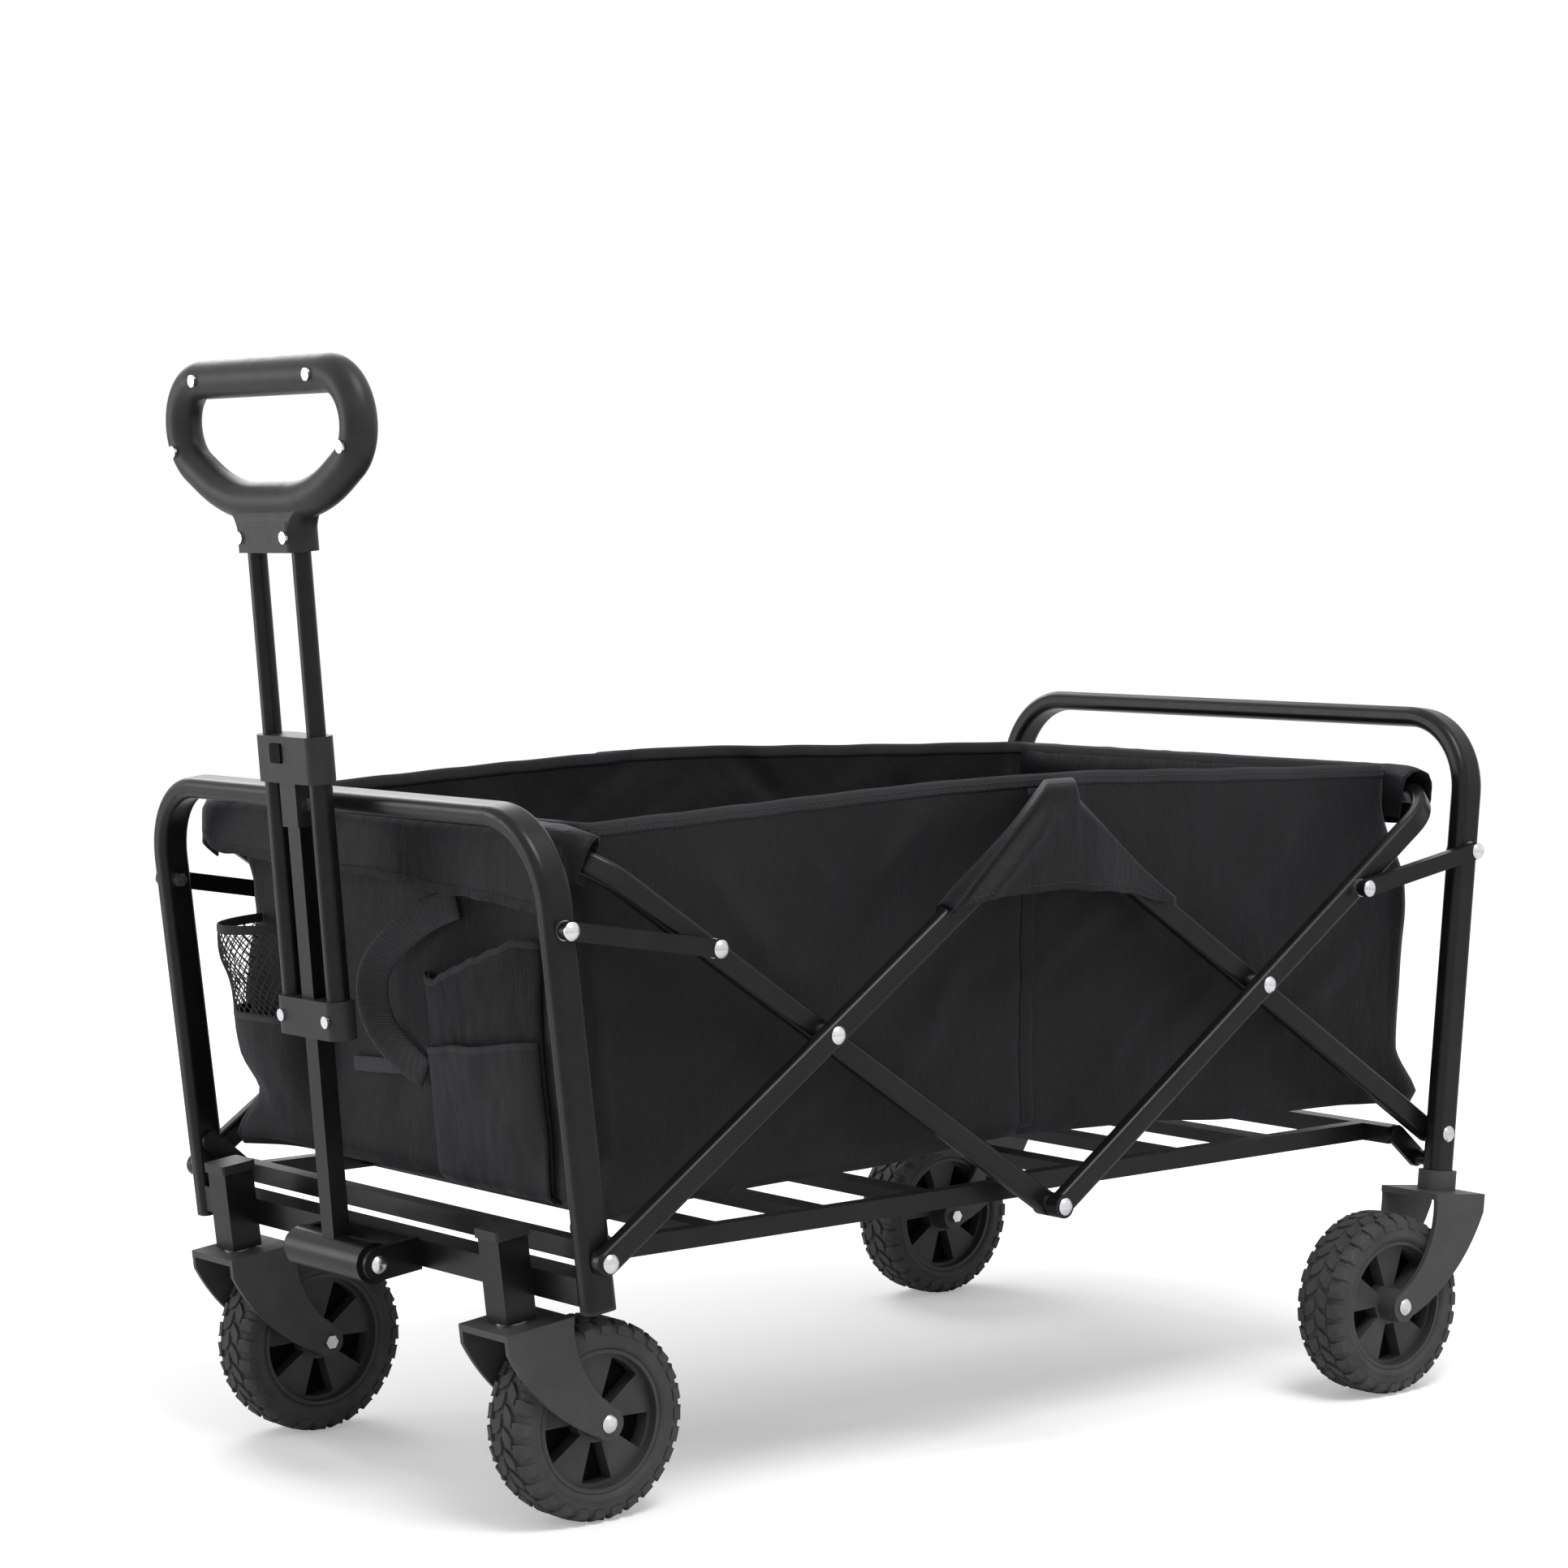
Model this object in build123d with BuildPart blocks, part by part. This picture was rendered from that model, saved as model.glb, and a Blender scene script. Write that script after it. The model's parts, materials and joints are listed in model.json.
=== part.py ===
"""Folding wagon with a pull handle: two end frames, a scissor linkage, a folding floor,
a fabric tub, two swivel casters, two fixed rear wheels and a telescopic handle."""
import os
from math import asin, cos, degrees, radians, sin, tan

from build123d import *

# Scissor linkage, all pivots on axes along X
arm_angle = 34.4
arm_lower = 244.0
arm_upper = 262.0
stay_reach = 122.0
stay_height = 230.0
frame_lean = 6.5
link_thickness = 12.0
link_depth = 18.0
link_wall = 1.5
link_corner = 4.0
link_round = 3.5
stay_thickness = 8.0
stay_depth = 13.0
hoop_bend = 40.0

# End frames
front_leg_x = 258.0
frame_thickness = 16.0
frame_depth = 25.0
frame_wall = 1.5
frame_corner = 6.0
frame_bend = 60.0
front_frame_rise = 306.0
rear_frame_rise = 336.0
front_leg_drop = 34.0
plug_flange = 2.5
cross_bar_drop = 22.0
cross_bar_size = 20.0
cross_bar_wall = 1.5

# Fits between pieces
side_gap = 1.0
bolt_clearance = 0.08
slide_clearance = 0.3
seat_gap = 0.3

# Fasteners
bolt_diameter = 6.0
bolt_head_diameter = 13.0
bolt_head_height = 4.0
nut_across_corners = 11.0
nut_height = 4.0
washer_diameter = 14.0

# Casters, forks and wheels
wheel_diameter = 144.0
tyre_width = 46.0
tyre_shoulder = 9.0
tread_depth = 4.0
tread_slot = 5.0
tread_reach = 12.0
tread_count = 20
rim_radius = 51.0
rim_lip = 3.0
rim_web = 26.0
hub_radius = 13.0
window_count = 5
window_share = 0.46
window_floor = 2.0
window_turn = 18.0
axle_diameter = 8.0
caster_x = 184.0
caster_trail = 52.0
rear_fork_trail = 60.0
rear_crown = 10.3
fork_gap = 3.0
fork_cheek = 4.0
fork_plate = 5.0
fork_front = 25.0
fork_back = 32.0
fork_boss = 12.0
fork_skirt = 14.0
post_size = 25.0
post_rise = 12.0
post_drop = 48.0
caster_crown = 5.8
post_cap_flange = 2.0
post_cap_height = 7.0
stem_diameter = 12.0
stem_flange = 1.5
collar_wall = 3.5
collar_height = 16.0

# Folding floor
floor_drop = 2.0
floor_pivot_inset = 25.0
floor_rail_x = 225.0
rail_width = 12.0
rail_height = 14.0
rail_gap = 1.5
rail_overlap = 14.0
slat_width = 20.0
slat_height = 10.0
slat_pitch = 100.0
slat_count = 3
floor_wall = 1.2
floor_tube_size = 14.0
floor_pin_diameter = 8.0
floor_pin_reach = 18.0
lug_thickness = 4.0
lug_radius = 8.0
lug_offset = 22.0

# Fabric tub
bag_side_gap = 22.0
bag_wall = 2.0
bag_rim = 3.1
bag_corner = 16.0
bag_base_corner = 5.0
bag_base_inset = 16.0
bag_lift = 18.0
hem_wall = 1.5
hem_drop = 48.0
flap_thickness = 1.5
flap_half_width = 138.0
flap_drop = 91.0
flap_arch = 18.0
flap_half_bridge = 16.0
flap_clearance = 6.0
pocket_depth = 26.0
pocket_wall = 1.5
pocket_lift = 8.0
cup_pocket_x = -160.0
cup_pocket_width = 110.0
cup_pocket_height = 170.0
flat_pocket_x = 137.0
flat_pocket_width = 150.0
flat_pocket_height = 164.0
strap_x = 43.0
strap_width = 30.0
strap_thickness = 2.0
strap_loop = 26.0
strap_length = 124.0
strap_drop = 66.0

# Handle, measured along its own stem from the level of the lower pivots
handle_forward = 46.0
handle_lean = 4.4
sleeve_diameter = 30.0
sleeve_length = 98.0
bracket_ear = 6.0
bracket_plate = 4.0
bracket_ear_radius = 12.0
handle_bolt_diameter = 8.0
stem_width = 16.0
stem_depth = 14.0
stem_wall = 1.5
handle_tube_x = 30.0
inner_tube_diameter = 14.0
outer_tube_wall = 1.2
inner_tube_wall = 1.2
clamp_base = 140.0
clamp_height = 28.0
collar_base = 325.0
handle_collar_height = 34.0
housing_wall = 3.0
ferrule_wall = 2.5
ferrule_height = 32.0
handle_overlap = 70.0
grip_base = 491.0
grip_height = 139.0
grip_half_width = 133.0
grip_neck = 40.0
grip_neck_height = 22.0
grip_thickness = 26.0
grip_round = 9.0
grip_socket = 24.0
grip_bar = 28.0
grip_lobe = 34.0
grip_slope = 30.0
grip_sag = 130.0
grip_web = 61.0
screw_diameter = 9.0
screw_head = 2.0
screw_shank = 4.0
screw_depth = 5.0
button_width = 14.0
button_height = 14.0
button_x = -8.0
button_corner = 2.0
button_travel = 3.0
button_proud = 1.5

# Positions that follow from the sizes above
lean_sin = sin(radians(frame_lean))
lean_cos = cos(radians(frame_lean))
post_forward = cross_bar_size / 2 + post_size / 2
pivot_height = wheel_diameter + caster_crown + lean_cos * post_drop + lean_sin * post_forward
half_base = (arm_lower + arm_upper) * cos(radians(arm_angle))
cross_y = arm_upper * cos(radians(arm_angle))
cross_z = pivot_height + arm_lower * sin(radians(arm_angle))
top_pivot_z = pivot_height + (arm_lower + arm_upper) * sin(radians(arm_angle))
base_pivot_z = pivot_height + (arm_lower - arm_upper) * sin(radians(arm_angle))
stay_y = cross_y + stay_reach * cos(radians(arm_angle))
stay_z = cross_z + stay_reach * sin(radians(arm_angle))
hoop_reach = arm_lower
floor_height = pivot_height - floor_drop
rear_leg_drop = (pivot_height - wheel_diameter - rear_crown) / lean_cos

inner_x = front_leg_x
outer_x = front_leg_x + frame_thickness / 2 + side_gap + link_thickness / 2
rear_leg_x = inner_x + link_thickness / 2 + side_gap + frame_thickness / 2
bag_half_width = inner_x - link_thickness / 2 - bag_side_gap
front_stay_x = front_leg_x + frame_thickness / 2 + side_gap + stay_thickness / 2
rear_stay_x = rear_leg_x + frame_thickness / 2 + side_gap + stay_thickness / 2

# Frame planes: x is lateral, y runs up the legs, z points to the front of the wagon
front_plane = Plane((0, -half_base, pivot_height), x_dir=(1, 0, 0), z_dir=(0, -lean_cos, -lean_sin))
rear_plane = Plane((0, half_base, pivot_height), x_dir=(1, 0, 0), z_dir=(0, -lean_cos, lean_sin))
handle_pivot = front_plane.from_local_coords(Vector(0, -cross_bar_drop, handle_forward))
handle_axis = Vector(0, -sin(radians(handle_lean)), cos(radians(handle_lean)))
handle_plane = Plane(handle_pivot + handle_axis * cross_bar_drop, x_dir=(1, 0, 0),
                     z_dir=Vector(1, 0, 0).cross(handle_axis))
side_plane = Plane((0, 0, 0), x_dir=(0, 1, 0), z_dir=(1, 0, 0))

os.makedirs("parts", exist_ok=True)


def save(builder, name):
    """Label a finished piece and write it."""
    builder.part.label = name
    export_step(builder.part, f"parts/{name}.step")


def world(plane, x, up, forward):
    """World position of a point given in a frame plane."""
    return plane.from_local_coords(Vector(x, up, forward))


def tube_section(plane, thickness, depth, corner, wall):
    """Hollow rounded rectangle, thickness along the plane's x."""
    with BuildSketch(plane) as section:
        RectangleRounded(thickness, depth, corner)
        RectangleRounded(thickness - 2 * wall, depth - 2 * wall, corner - wall, mode=Mode.SUBTRACT)
    return section


def side_hole(x, y, z, diameter, length):
    """Cut a bore along X through the piece being built."""
    with Locations(Location((x, y, z), (0, 90, 0))):
        Cylinder(diameter / 2, length, mode=Mode.SUBTRACT)


def side_rod(x_from, x_to, y, z, diameter):
    """Add a round bar along X."""
    with Locations(Location(((x_from + x_to) / 2, y, z), (0, 90, 0))):
        Cylinder(diameter / 2, abs(x_to - x_from))


def side_ring(x_from, x_to, y, z, diameter, bore):
    """Add a washer along X."""
    with BuildSketch(Plane((x_from, y, z), x_dir=(0, 1, 0), z_dir=(1, 0, 0))) as ring:
        Circle(diameter / 2)
        Circle(bore / 2, mode=Mode.SUBTRACT)
    extrude(ring.sketch, amount=x_to - x_from)


def dome_pin(outward, x_seat, y, z, steps):
    """Add a turned pin along X: a domed head seated at x_seat and a shank of (radius, end) steps."""
    radius = bolt_head_diameter / 2
    rim = bolt_head_height / 4
    crown = bolt_head_height - rim
    centre = (bolt_head_height + rim - radius**2 / crown) / 2
    ball = bolt_head_height - centre
    outline = [(bolt_head_height, 0), (-steps[-1][1], 0)]
    start = 0
    shank = []
    for step_radius, step_end in steps:
        shank += [(-start, step_radius), (-step_end, step_radius)]
        start = step_end
    outline += shank[::-1] + [(0, radius), (rim, radius)]
    axis_plane = Plane((x_seat, y, z), x_dir=(outward, 0, 0), z_dir=(0, -outward, 0))
    with BuildSketch(axis_plane) as half:
        with BuildLine():
            Polyline(*outline)
            CenterArc((centre, 0), ball, 0, degrees(asin(radius / ball)))
        make_face()
    revolve(half.sketch, axis=Axis((x_seat, y, z), (outward, 0, 0)))


def dome_bolt(x_nut, x_seat, y, z, diameter=bolt_diameter):
    """Add a bolt along X with a domed head at x_seat and a hexagon nut that ends at x_nut."""
    outward = 1 if x_seat > x_nut else -1
    dome_pin(outward, x_seat, y, z, [(diameter / 2, abs(x_seat - x_nut))])
    with BuildSketch(Plane((x_nut, y, z), x_dir=(0, 1, 0), z_dir=(outward, 0, 0))) as nut:
        RegularPolygon(nut_across_corners / 2, 6)
    extrude(nut.sketch, amount=nut_height)


def u_frame(plane, half_width, rise, drop):
    """Inverted U of hollow tube lying in a frame plane."""
    with BuildLine(plane) as path:
        FilletPolyline((-half_width, -drop), (-half_width, rise), (half_width, rise),
                       (half_width, -drop), radius=frame_bend)
    start = Plane(path.line @ 0, x_dir=(1, 0, 0), z_dir=path.line % 0)
    section = tube_section(start, frame_thickness, frame_depth, frame_corner, frame_wall)
    sweep(sections=section.sketch, path=path.line)


leg_bore = bolt_diameter + 2 * bolt_clearance
leg_bore_length = 2 * frame_thickness
front_stay_point = world(front_plane, 0, stay_height, 0)
rear_stay_point = world(rear_plane, 0, stay_height, 0)

# Front frame: inverted U tube, drilled for the arm and stay bolts
with BuildPart() as front_frame_tube:
    u_frame(front_plane, front_leg_x, front_frame_rise, front_leg_drop)
    for side in (-1, 1):
        side_hole(side * front_leg_x, -half_base, pivot_height, leg_bore, leg_bore_length)
        side_hole(side * front_leg_x, front_stay_point.Y, front_stay_point.Z, leg_bore, leg_bore_length)
save(front_frame_tube, "front_frame_tube")

# Rear frame: the same tube, wider by one link layer and taller
with BuildPart() as rear_frame_tube:
    u_frame(rear_plane, rear_leg_x, rear_frame_rise, rear_leg_drop)
    for side in (-1, 1):
        side_hole(side * rear_leg_x, half_base, pivot_height, leg_bore, leg_bore_length)
        side_hole(side * rear_leg_x, rear_stay_point.Y, rear_stay_point.Z, leg_bore, leg_bore_length)
save(rear_frame_tube, "rear_frame_tube")

# Plastic plugs in the open lower ends of the front legs
with BuildPart() as leg_end_plugs:
    for side in (-1, 1):
        foot = Plane(world(front_plane, side * front_leg_x, -front_leg_drop, 0), x_dir=(1, 0, 0),
                     z_dir=front_plane.y_dir)
        with BuildSketch(foot):
            RectangleRounded(frame_thickness, frame_depth, frame_corner)
        extrude(amount=-plug_flange)
        with BuildSketch(foot):
            RectangleRounded(frame_thickness - 2 * frame_wall - 2 * slide_clearance,
                             frame_depth - 2 * frame_wall - 2 * slide_clearance,
                             frame_corner - frame_wall - slide_clearance)
        extrude(amount=front_leg_drop - leg_bore - nut_height)
save(leg_end_plugs, "leg_end_plugs")

# Square cross bar between the front legs
cross_bar_length = 2 * front_leg_x - frame_thickness
with BuildPart(front_plane) as front_cross_bar:
    with Locations((0, -cross_bar_drop, 0)):
        Box(cross_bar_length, cross_bar_size, cross_bar_size)
        Box(cross_bar_length, cross_bar_size - 2 * cross_bar_wall, cross_bar_size - 2 * cross_bar_wall,
            mode=Mode.SUBTRACT)
save(front_cross_bar, "front_cross_bar")

# Caster posts welded to the front of the cross bar, bored for the caster stems
post_length = post_rise + post_drop
stem_bore = stem_diameter + 2 * bolt_clearance
with BuildPart(front_plane) as caster_posts:
    for side in (-1, 1):
        with Locations((side * caster_x, (post_rise - post_drop) / 2, post_forward)):
            Box(post_size, post_length, post_size)
        with Locations(Location((side * caster_x, (post_rise - post_drop) / 2, post_forward), (90, 0, 0))):
            Cylinder(stem_bore / 2, post_length, mode=Mode.SUBTRACT)
save(caster_posts, "caster_posts")

# Flanged plastic caps on the posts
with BuildPart(front_plane) as post_caps:
    for side in (-1, 1):
        with Locations((side * caster_x, post_rise + post_cap_height / 2, post_forward)):
            Box(post_size + 2 * post_cap_flange, post_cap_height, post_size + 2 * post_cap_flange)
    fillet(post_caps.edges().group_by(SortBy.LENGTH)[0], post_cap_height / 3)
save(post_caps, "post_caps")


def fork_plane(frame, x, drop, forward, toward_front):
    """Plane of a fork: origin on the post axis at its lower end, x along the trail, y up the post."""
    origin = world(frame, x, -drop, forward)
    return Plane(origin, x_dir=frame.z_dir * toward_front,
                 z_dir=(frame.z_dir * toward_front).cross(frame.y_dir))


def axle_drop(plane, trail):
    """Distance from the fork's origin down its post to an axle that stands at wheel height."""
    return (plane.origin.Z + trail * plane.x_dir.Z - wheel_diameter / 2) / plane.y_dir.Z


fork_inner = tyre_width / 2 + fork_gap
fork_outer = fork_inner + fork_cheek


def fork(plane, trail, top):
    """Fork below a post: a top plate at height top and two curved cheeks that carry the axle."""
    drop = axle_drop(plane, trail)
    for low in (-fork_outer, fork_inner):
        with BuildSketch(plane.offset(low)) as cheek:
            with BuildLine():
                Polyline((-fork_front, top - fork_skirt), (-fork_front, top), (fork_back, top))
                ThreePointArc((fork_back, top), (fork_back + 0.05 * trail, top - 0.45 * drop),
                              (trail + fork_boss * 0.75, -drop + fork_boss * 0.66))
                ThreePointArc((trail + fork_boss * 0.75, -drop + fork_boss * 0.66),
                              (trail + fork_boss * 0.5, -drop - fork_boss * 0.866),
                              (trail - fork_boss * 0.8, -drop - fork_boss * 0.6))
                ThreePointArc((trail - fork_boss * 0.8, -drop - fork_boss * 0.6),
                              (0.12 * trail - fork_front * 0.46, top - 0.578 * drop),
                              (-fork_front, top - fork_skirt))
            make_face()
        extrude(cheek.sketch, amount=fork_cheek)
    with BuildSketch(plane.offset(-fork_outer)) as plate:
        with Locations(((fork_back - fork_front) / 2, top - fork_plate / 2)):
            Rectangle(fork_front + fork_back, fork_plate)
    extrude(plate.sketch, amount=2 * fork_outer)
    axle = plane.from_local_coords(Vector(trail, -drop, 0))
    side_hole(axle.X, axle.Y, axle.Z, axle_diameter + 2 * bolt_clearance, 4 * fork_outer)
    return axle


def axle_bolt(axle, outward):
    """Wheel axle with a domed head outside and a nut inside."""
    dome_bolt(axle.X - outward * (fork_outer + nut_height), axle.X + outward * fork_outer,
              axle.Y, axle.Z, axle_diameter)


# Tyre with rounded shoulders and staggered tread slots, made once about the X axis
tyre_radius = wheel_diameter / 2
with BuildPart(Plane.YZ) as tyre_master:
    with BuildSketch(Plane.XY) as tyre_section:
        with Locations((0, (tyre_radius + rim_radius) / 2)):
            Rectangle(tyre_width, tyre_radius - rim_radius)
        fillet(tyre_section.vertices().group_by(Axis.Y)[-1], tyre_shoulder)
    revolve(axis=Axis.X)
    for edge in (-1, 1):
        with Locations((0, 0, edge * (tyre_width - tread_reach) / 2)):
            with PolarLocations(tyre_radius, tread_count, start_angle=90 * (edge + 1) / tread_count):
                Box(2 * tread_depth, tread_slot, tread_reach, mode=Mode.SUBTRACT)

# Rim with a hub, a dished disc with deep windows on both faces and an outer ring that carries the tyre
rim_width = tyre_width - 2 * rim_lip
hub_length = 2 * (fork_inner - seat_gap)
window_inner = hub_radius + rim_lip
window_outer = rim_radius - 2 * rim_lip
spoke_half = (1 - window_share) * 180 / window_count
spoke_x = 2 * rim_radius * cos(radians(spoke_half))
spoke_y = 2 * rim_radius * sin(radians(spoke_half))
with BuildPart(Plane.YZ) as rim_master:
    Cylinder(rim_radius, rim_width)
    Cylinder(rim_radius - rim_lip, rim_width, mode=Mode.SUBTRACT)
    Cylinder(rim_radius - rim_lip / 2, rim_web)
    for face in (-1, 1):
        with BuildSketch(Plane.YZ.offset(face * window_floor / 2)) as windows:
            Circle(window_outer)
            Circle(window_inner, mode=Mode.SUBTRACT)
            with PolarLocations(0, window_count, start_angle=window_turn):
                Polygon((0, 0), (spoke_x, -spoke_y), (spoke_x, spoke_y), align=None, mode=Mode.SUBTRACT)
        extrude(windows.sketch, amount=face * rim_web, mode=Mode.SUBTRACT)
    Cylinder(hub_radius, hub_length)
    Cylinder(axle_diameter / 2 + bolt_clearance, 2 * hub_length, mode=Mode.SUBTRACT)


def wheel(axle, name):
    """Place a tyre and its rim on an axle."""
    with BuildPart() as tyre:
        add(tyre_master.part.moved(Location(axle)))
    save(tyre, f"{name}_tyre")
    with BuildPart() as rim:
        add(rim_master.part.moved(Location(axle)))
    save(rim, f"{name}_rim")


# Swivel casters at the front, trailing behind their posts
for side, word in ((-1, "left"), (1, "right")):
    caster_plane = fork_plane(front_plane, side * caster_x, post_drop, post_forward, -1)
    with BuildPart() as caster_fork:
        caster_axle_point = fork(caster_plane, caster_trail, -stem_flange)
    save(caster_fork, f"caster_fork_{word}")
    with BuildPart() as caster_stem:
        stem_base = Plane(world(front_plane, side * caster_x, -post_drop, post_forward), x_dir=(1, 0, 0),
                          z_dir=front_plane.y_dir)
        with BuildSketch(stem_base):
            Circle(stem_diameter / 2)
        extrude(amount=post_length - post_cap_height)
        with BuildSketch(stem_base):
            Circle(stem_diameter)
        extrude(amount=-stem_flange)
    save(caster_stem, f"caster_stem_{word}")
    with BuildPart() as caster_axle:
        axle_bolt(caster_axle_point, side)
    save(caster_axle, f"caster_axle_{word}")
    wheel(caster_axle_point, f"front_wheel_{word}")

# Fixed forks under the rear legs, raked towards the front, each with a socket round the leg
rear_axle_points = {}
for side, word in ((-1, "left"), (1, "right")):
    rear_fork_plane = fork_plane(rear_plane, side * rear_leg_x, rear_leg_drop, 0, 1)
    with BuildPart() as rear_fork:
        rear_axle_points[side] = fork(rear_fork_plane, rear_fork_trail, 0)
        socket = Plane(rear_fork_plane.origin, x_dir=(1, 0, 0), z_dir=rear_plane.y_dir)
        with BuildSketch(socket):
            RectangleRounded(frame_thickness + 2 * collar_wall, frame_depth + 2 * collar_wall,
                             frame_corner + collar_wall)
            RectangleRounded(frame_thickness + 2 * slide_clearance, frame_depth + 2 * slide_clearance,
                             frame_corner + slide_clearance, mode=Mode.SUBTRACT)
        extrude(amount=collar_height)
    save(rear_fork, f"rear_fork_{word}")
    wheel(rear_axle_points[side], f"rear_wheel_{word}")

with BuildPart() as rear_axles:
    for side in (-1, 1):
        axle_bolt(rear_axle_points[side], side)
save(rear_axles, "rear_axles")


def link_bar(x, start, end, thickness, depth, hollow):
    """Straight round-ended bar in a plane of constant x, from one pivot to the other."""
    span = Vector(0, end[0] - start[0], end[1] - start[1])
    middle = (x, (start[0] + end[0]) / 2, (start[1] + end[1]) / 2)
    bar_plane = Plane(middle, x_dir=span, z_dir=(1, 0, 0))
    with BuildSketch(bar_plane.offset(-thickness / 2)) as outline:
        SlotCenterToCenter(span.length, depth)
    bar = extrude(outline.sketch, amount=thickness)
    if hollow:
        fillet(bar.edges().group_by(Axis.X)[0] + bar.edges().group_by(Axis.X)[-1], link_round)
        with BuildSketch(bar_plane.offset(-thickness / 2 + link_wall)) as cavity:
            Rectangle(span.length - 2 * depth, depth - 2 * link_wall)
        extrude(cavity.sketch, amount=thickness - 2 * link_wall, mode=Mode.SUBTRACT)


# Diagonal arms: the front pair lies outside, the rear pair inside
bolt_bore = bolt_diameter + 2 * bolt_clearance
bore_length = 2 * link_thickness
arm_sets = (("front_arms", -1, outer_x), ("rear_arms", 1, inner_x))
for name, end_sign, arm_x in arm_sets:
    with BuildPart() as arms:
        for side in (-1, 1):
            link_bar(side * arm_x, (end_sign * half_base, pivot_height), (0, top_pivot_z),
                     link_thickness, link_depth, True)
            for hole_y, hole_z in ((end_sign * half_base, pivot_height), (end_sign * cross_y, cross_z),
                                   (0, top_pivot_z)):
                side_hole(side * arm_x, hole_y, hole_z, bolt_bore, bore_length)
    save(arms, name)

# Hoops: two side bars with round feet, joined by a cross tube at the top of the tub
hoop_sets = (("front_hoop", -1, inner_x), ("rear_hoop", 1, outer_x))
for name, end_sign, hoop_x in hoop_sets:
    rise = Vector(0, end_sign * cos(radians(arm_angle)), sin(radians(arm_angle)))
    hoop_plane = Plane((0, end_sign * cross_y, cross_z), x_dir=(1, 0, 0), z_dir=Vector(1, 0, 0).cross(rise))
    with BuildPart() as hoop:
        with BuildLine(hoop_plane) as hoop_path:
            FilletPolyline((-hoop_x, -arm_upper), (-hoop_x, hoop_reach), (hoop_x, hoop_reach),
                           (hoop_x, -arm_upper), radius=hoop_bend)
        hoop_start = Plane(hoop_path.line @ 0, x_dir=(1, 0, 0), z_dir=hoop_path.line % 0)
        hoop_section = tube_section(hoop_start, link_thickness, link_depth, link_corner, link_wall)
        sweep(sections=hoop_section.sketch, path=hoop_path.line)
        for side in (-1, 1):
            side_rod(side * (hoop_x - link_thickness / 2), side * (hoop_x + link_thickness / 2),
                     0, base_pivot_z, link_depth)
            for hole_y, hole_z in ((0, base_pivot_z), (end_sign * cross_y, cross_z)):
                side_hole(side * hoop_x, hole_y, hole_z, bolt_bore, bore_length)
    save(hoop, name)

# Short stays between the legs and the hoops
stay_sets = (("front_stays", -1, front_stay_x, front_stay_point),
             ("rear_stays", 1, rear_stay_x, rear_stay_point))
for name, end_sign, stay_x, leg_point in stay_sets:
    with BuildPart() as stays:
        for side in (-1, 1):
            link_bar(side * stay_x, (leg_point.Y, leg_point.Z), (end_sign * stay_y, stay_z),
                     stay_thickness, stay_depth, False)
            side_hole(side * stay_x, leg_point.Y, leg_point.Z, bolt_bore, bore_length)
            side_hole(side * stay_x, end_sign * stay_y, stay_z, bolt_bore, bore_length)
    save(stays, name)

# Bolts and washers of the linkage
front_leg_inside = front_leg_x - frame_thickness / 2
front_leg_outside = front_leg_x + frame_thickness / 2
rear_leg_inside = rear_leg_x - frame_thickness / 2
rear_leg_outside = rear_leg_x + frame_thickness / 2
inner_link_inside = inner_x - link_thickness / 2
inner_link_outside = inner_x + link_thickness / 2
outer_link_inside = outer_x - link_thickness / 2
outer_link_outside = outer_x + link_thickness / 2
front_stay_inside = front_stay_x - stay_thickness / 2
front_stay_outside = front_stay_x + stay_thickness / 2
rear_stay_inside = rear_stay_x - stay_thickness / 2
rear_stay_outside = rear_stay_x + stay_thickness / 2


def bolt_pair(x_inside, x_outside, y, z, washer):
    """The same bolt on both sides of the wagon, with a washer between the two layers that it joins."""
    for side in (-1, 1):
        dome_bolt(side * (x_inside - nut_height), side * x_outside, y, z)
        side_ring(side * washer[0], side * washer[1], y, z, washer_diameter, bolt_bore)


with BuildPart() as front_leg_bolts:
    bolt_pair(front_leg_inside, outer_link_outside, -half_base, pivot_height,
              (front_leg_outside, outer_link_inside))
    bolt_pair(front_leg_inside, front_stay_outside, front_stay_point.Y, front_stay_point.Z,
              (front_leg_outside, front_stay_inside))
save(front_leg_bolts, "front_leg_bolts")

with BuildPart() as rear_leg_bolts:
    bolt_pair(inner_link_inside, rear_leg_outside, half_base, pivot_height,
              (inner_link_outside, rear_leg_inside))
    bolt_pair(rear_leg_inside, rear_stay_outside, rear_stay_point.Y, rear_stay_point.Z,
              (rear_leg_outside, rear_stay_inside))
save(rear_leg_bolts, "rear_leg_bolts")

link_washer = (inner_link_outside, outer_link_inside)
with BuildPart() as front_arm_bolts:
    bolt_pair(inner_link_inside, outer_link_outside, -cross_y, cross_z, link_washer)
    bolt_pair(inner_link_inside, outer_link_outside, 0, top_pivot_z, link_washer)
save(front_arm_bolts, "front_arm_bolts")

with BuildPart() as rear_arm_bolts:
    bolt_pair(inner_link_inside, outer_link_outside, cross_y, cross_z, link_washer)
save(rear_arm_bolts, "rear_arm_bolts")

with BuildPart() as centre_bolts:
    bolt_pair(inner_link_inside, outer_link_outside, 0, base_pivot_z, link_washer)
save(centre_bolts, "centre_bolts")


def rivet_pair(x_end, x_seat, y, z, x_link):
    """Domed rivets through the stays, each with a tail flange that bears on the hoop beside it."""
    shank_end = abs(x_seat - x_end)
    tail_end = abs(x_seat - x_link)
    steps = [(bolt_diameter / 2, shank_end), (washer_diameter / 2, tail_end)]
    for side in (-1, 1):
        dome_pin(side, side * x_seat, y, z, steps)


with BuildPart() as front_stay_rivets:
    rivet_pair(front_stay_inside, front_stay_outside, -stay_y, stay_z, inner_link_outside)
save(front_stay_rivets, "front_stay_rivets")

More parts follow.
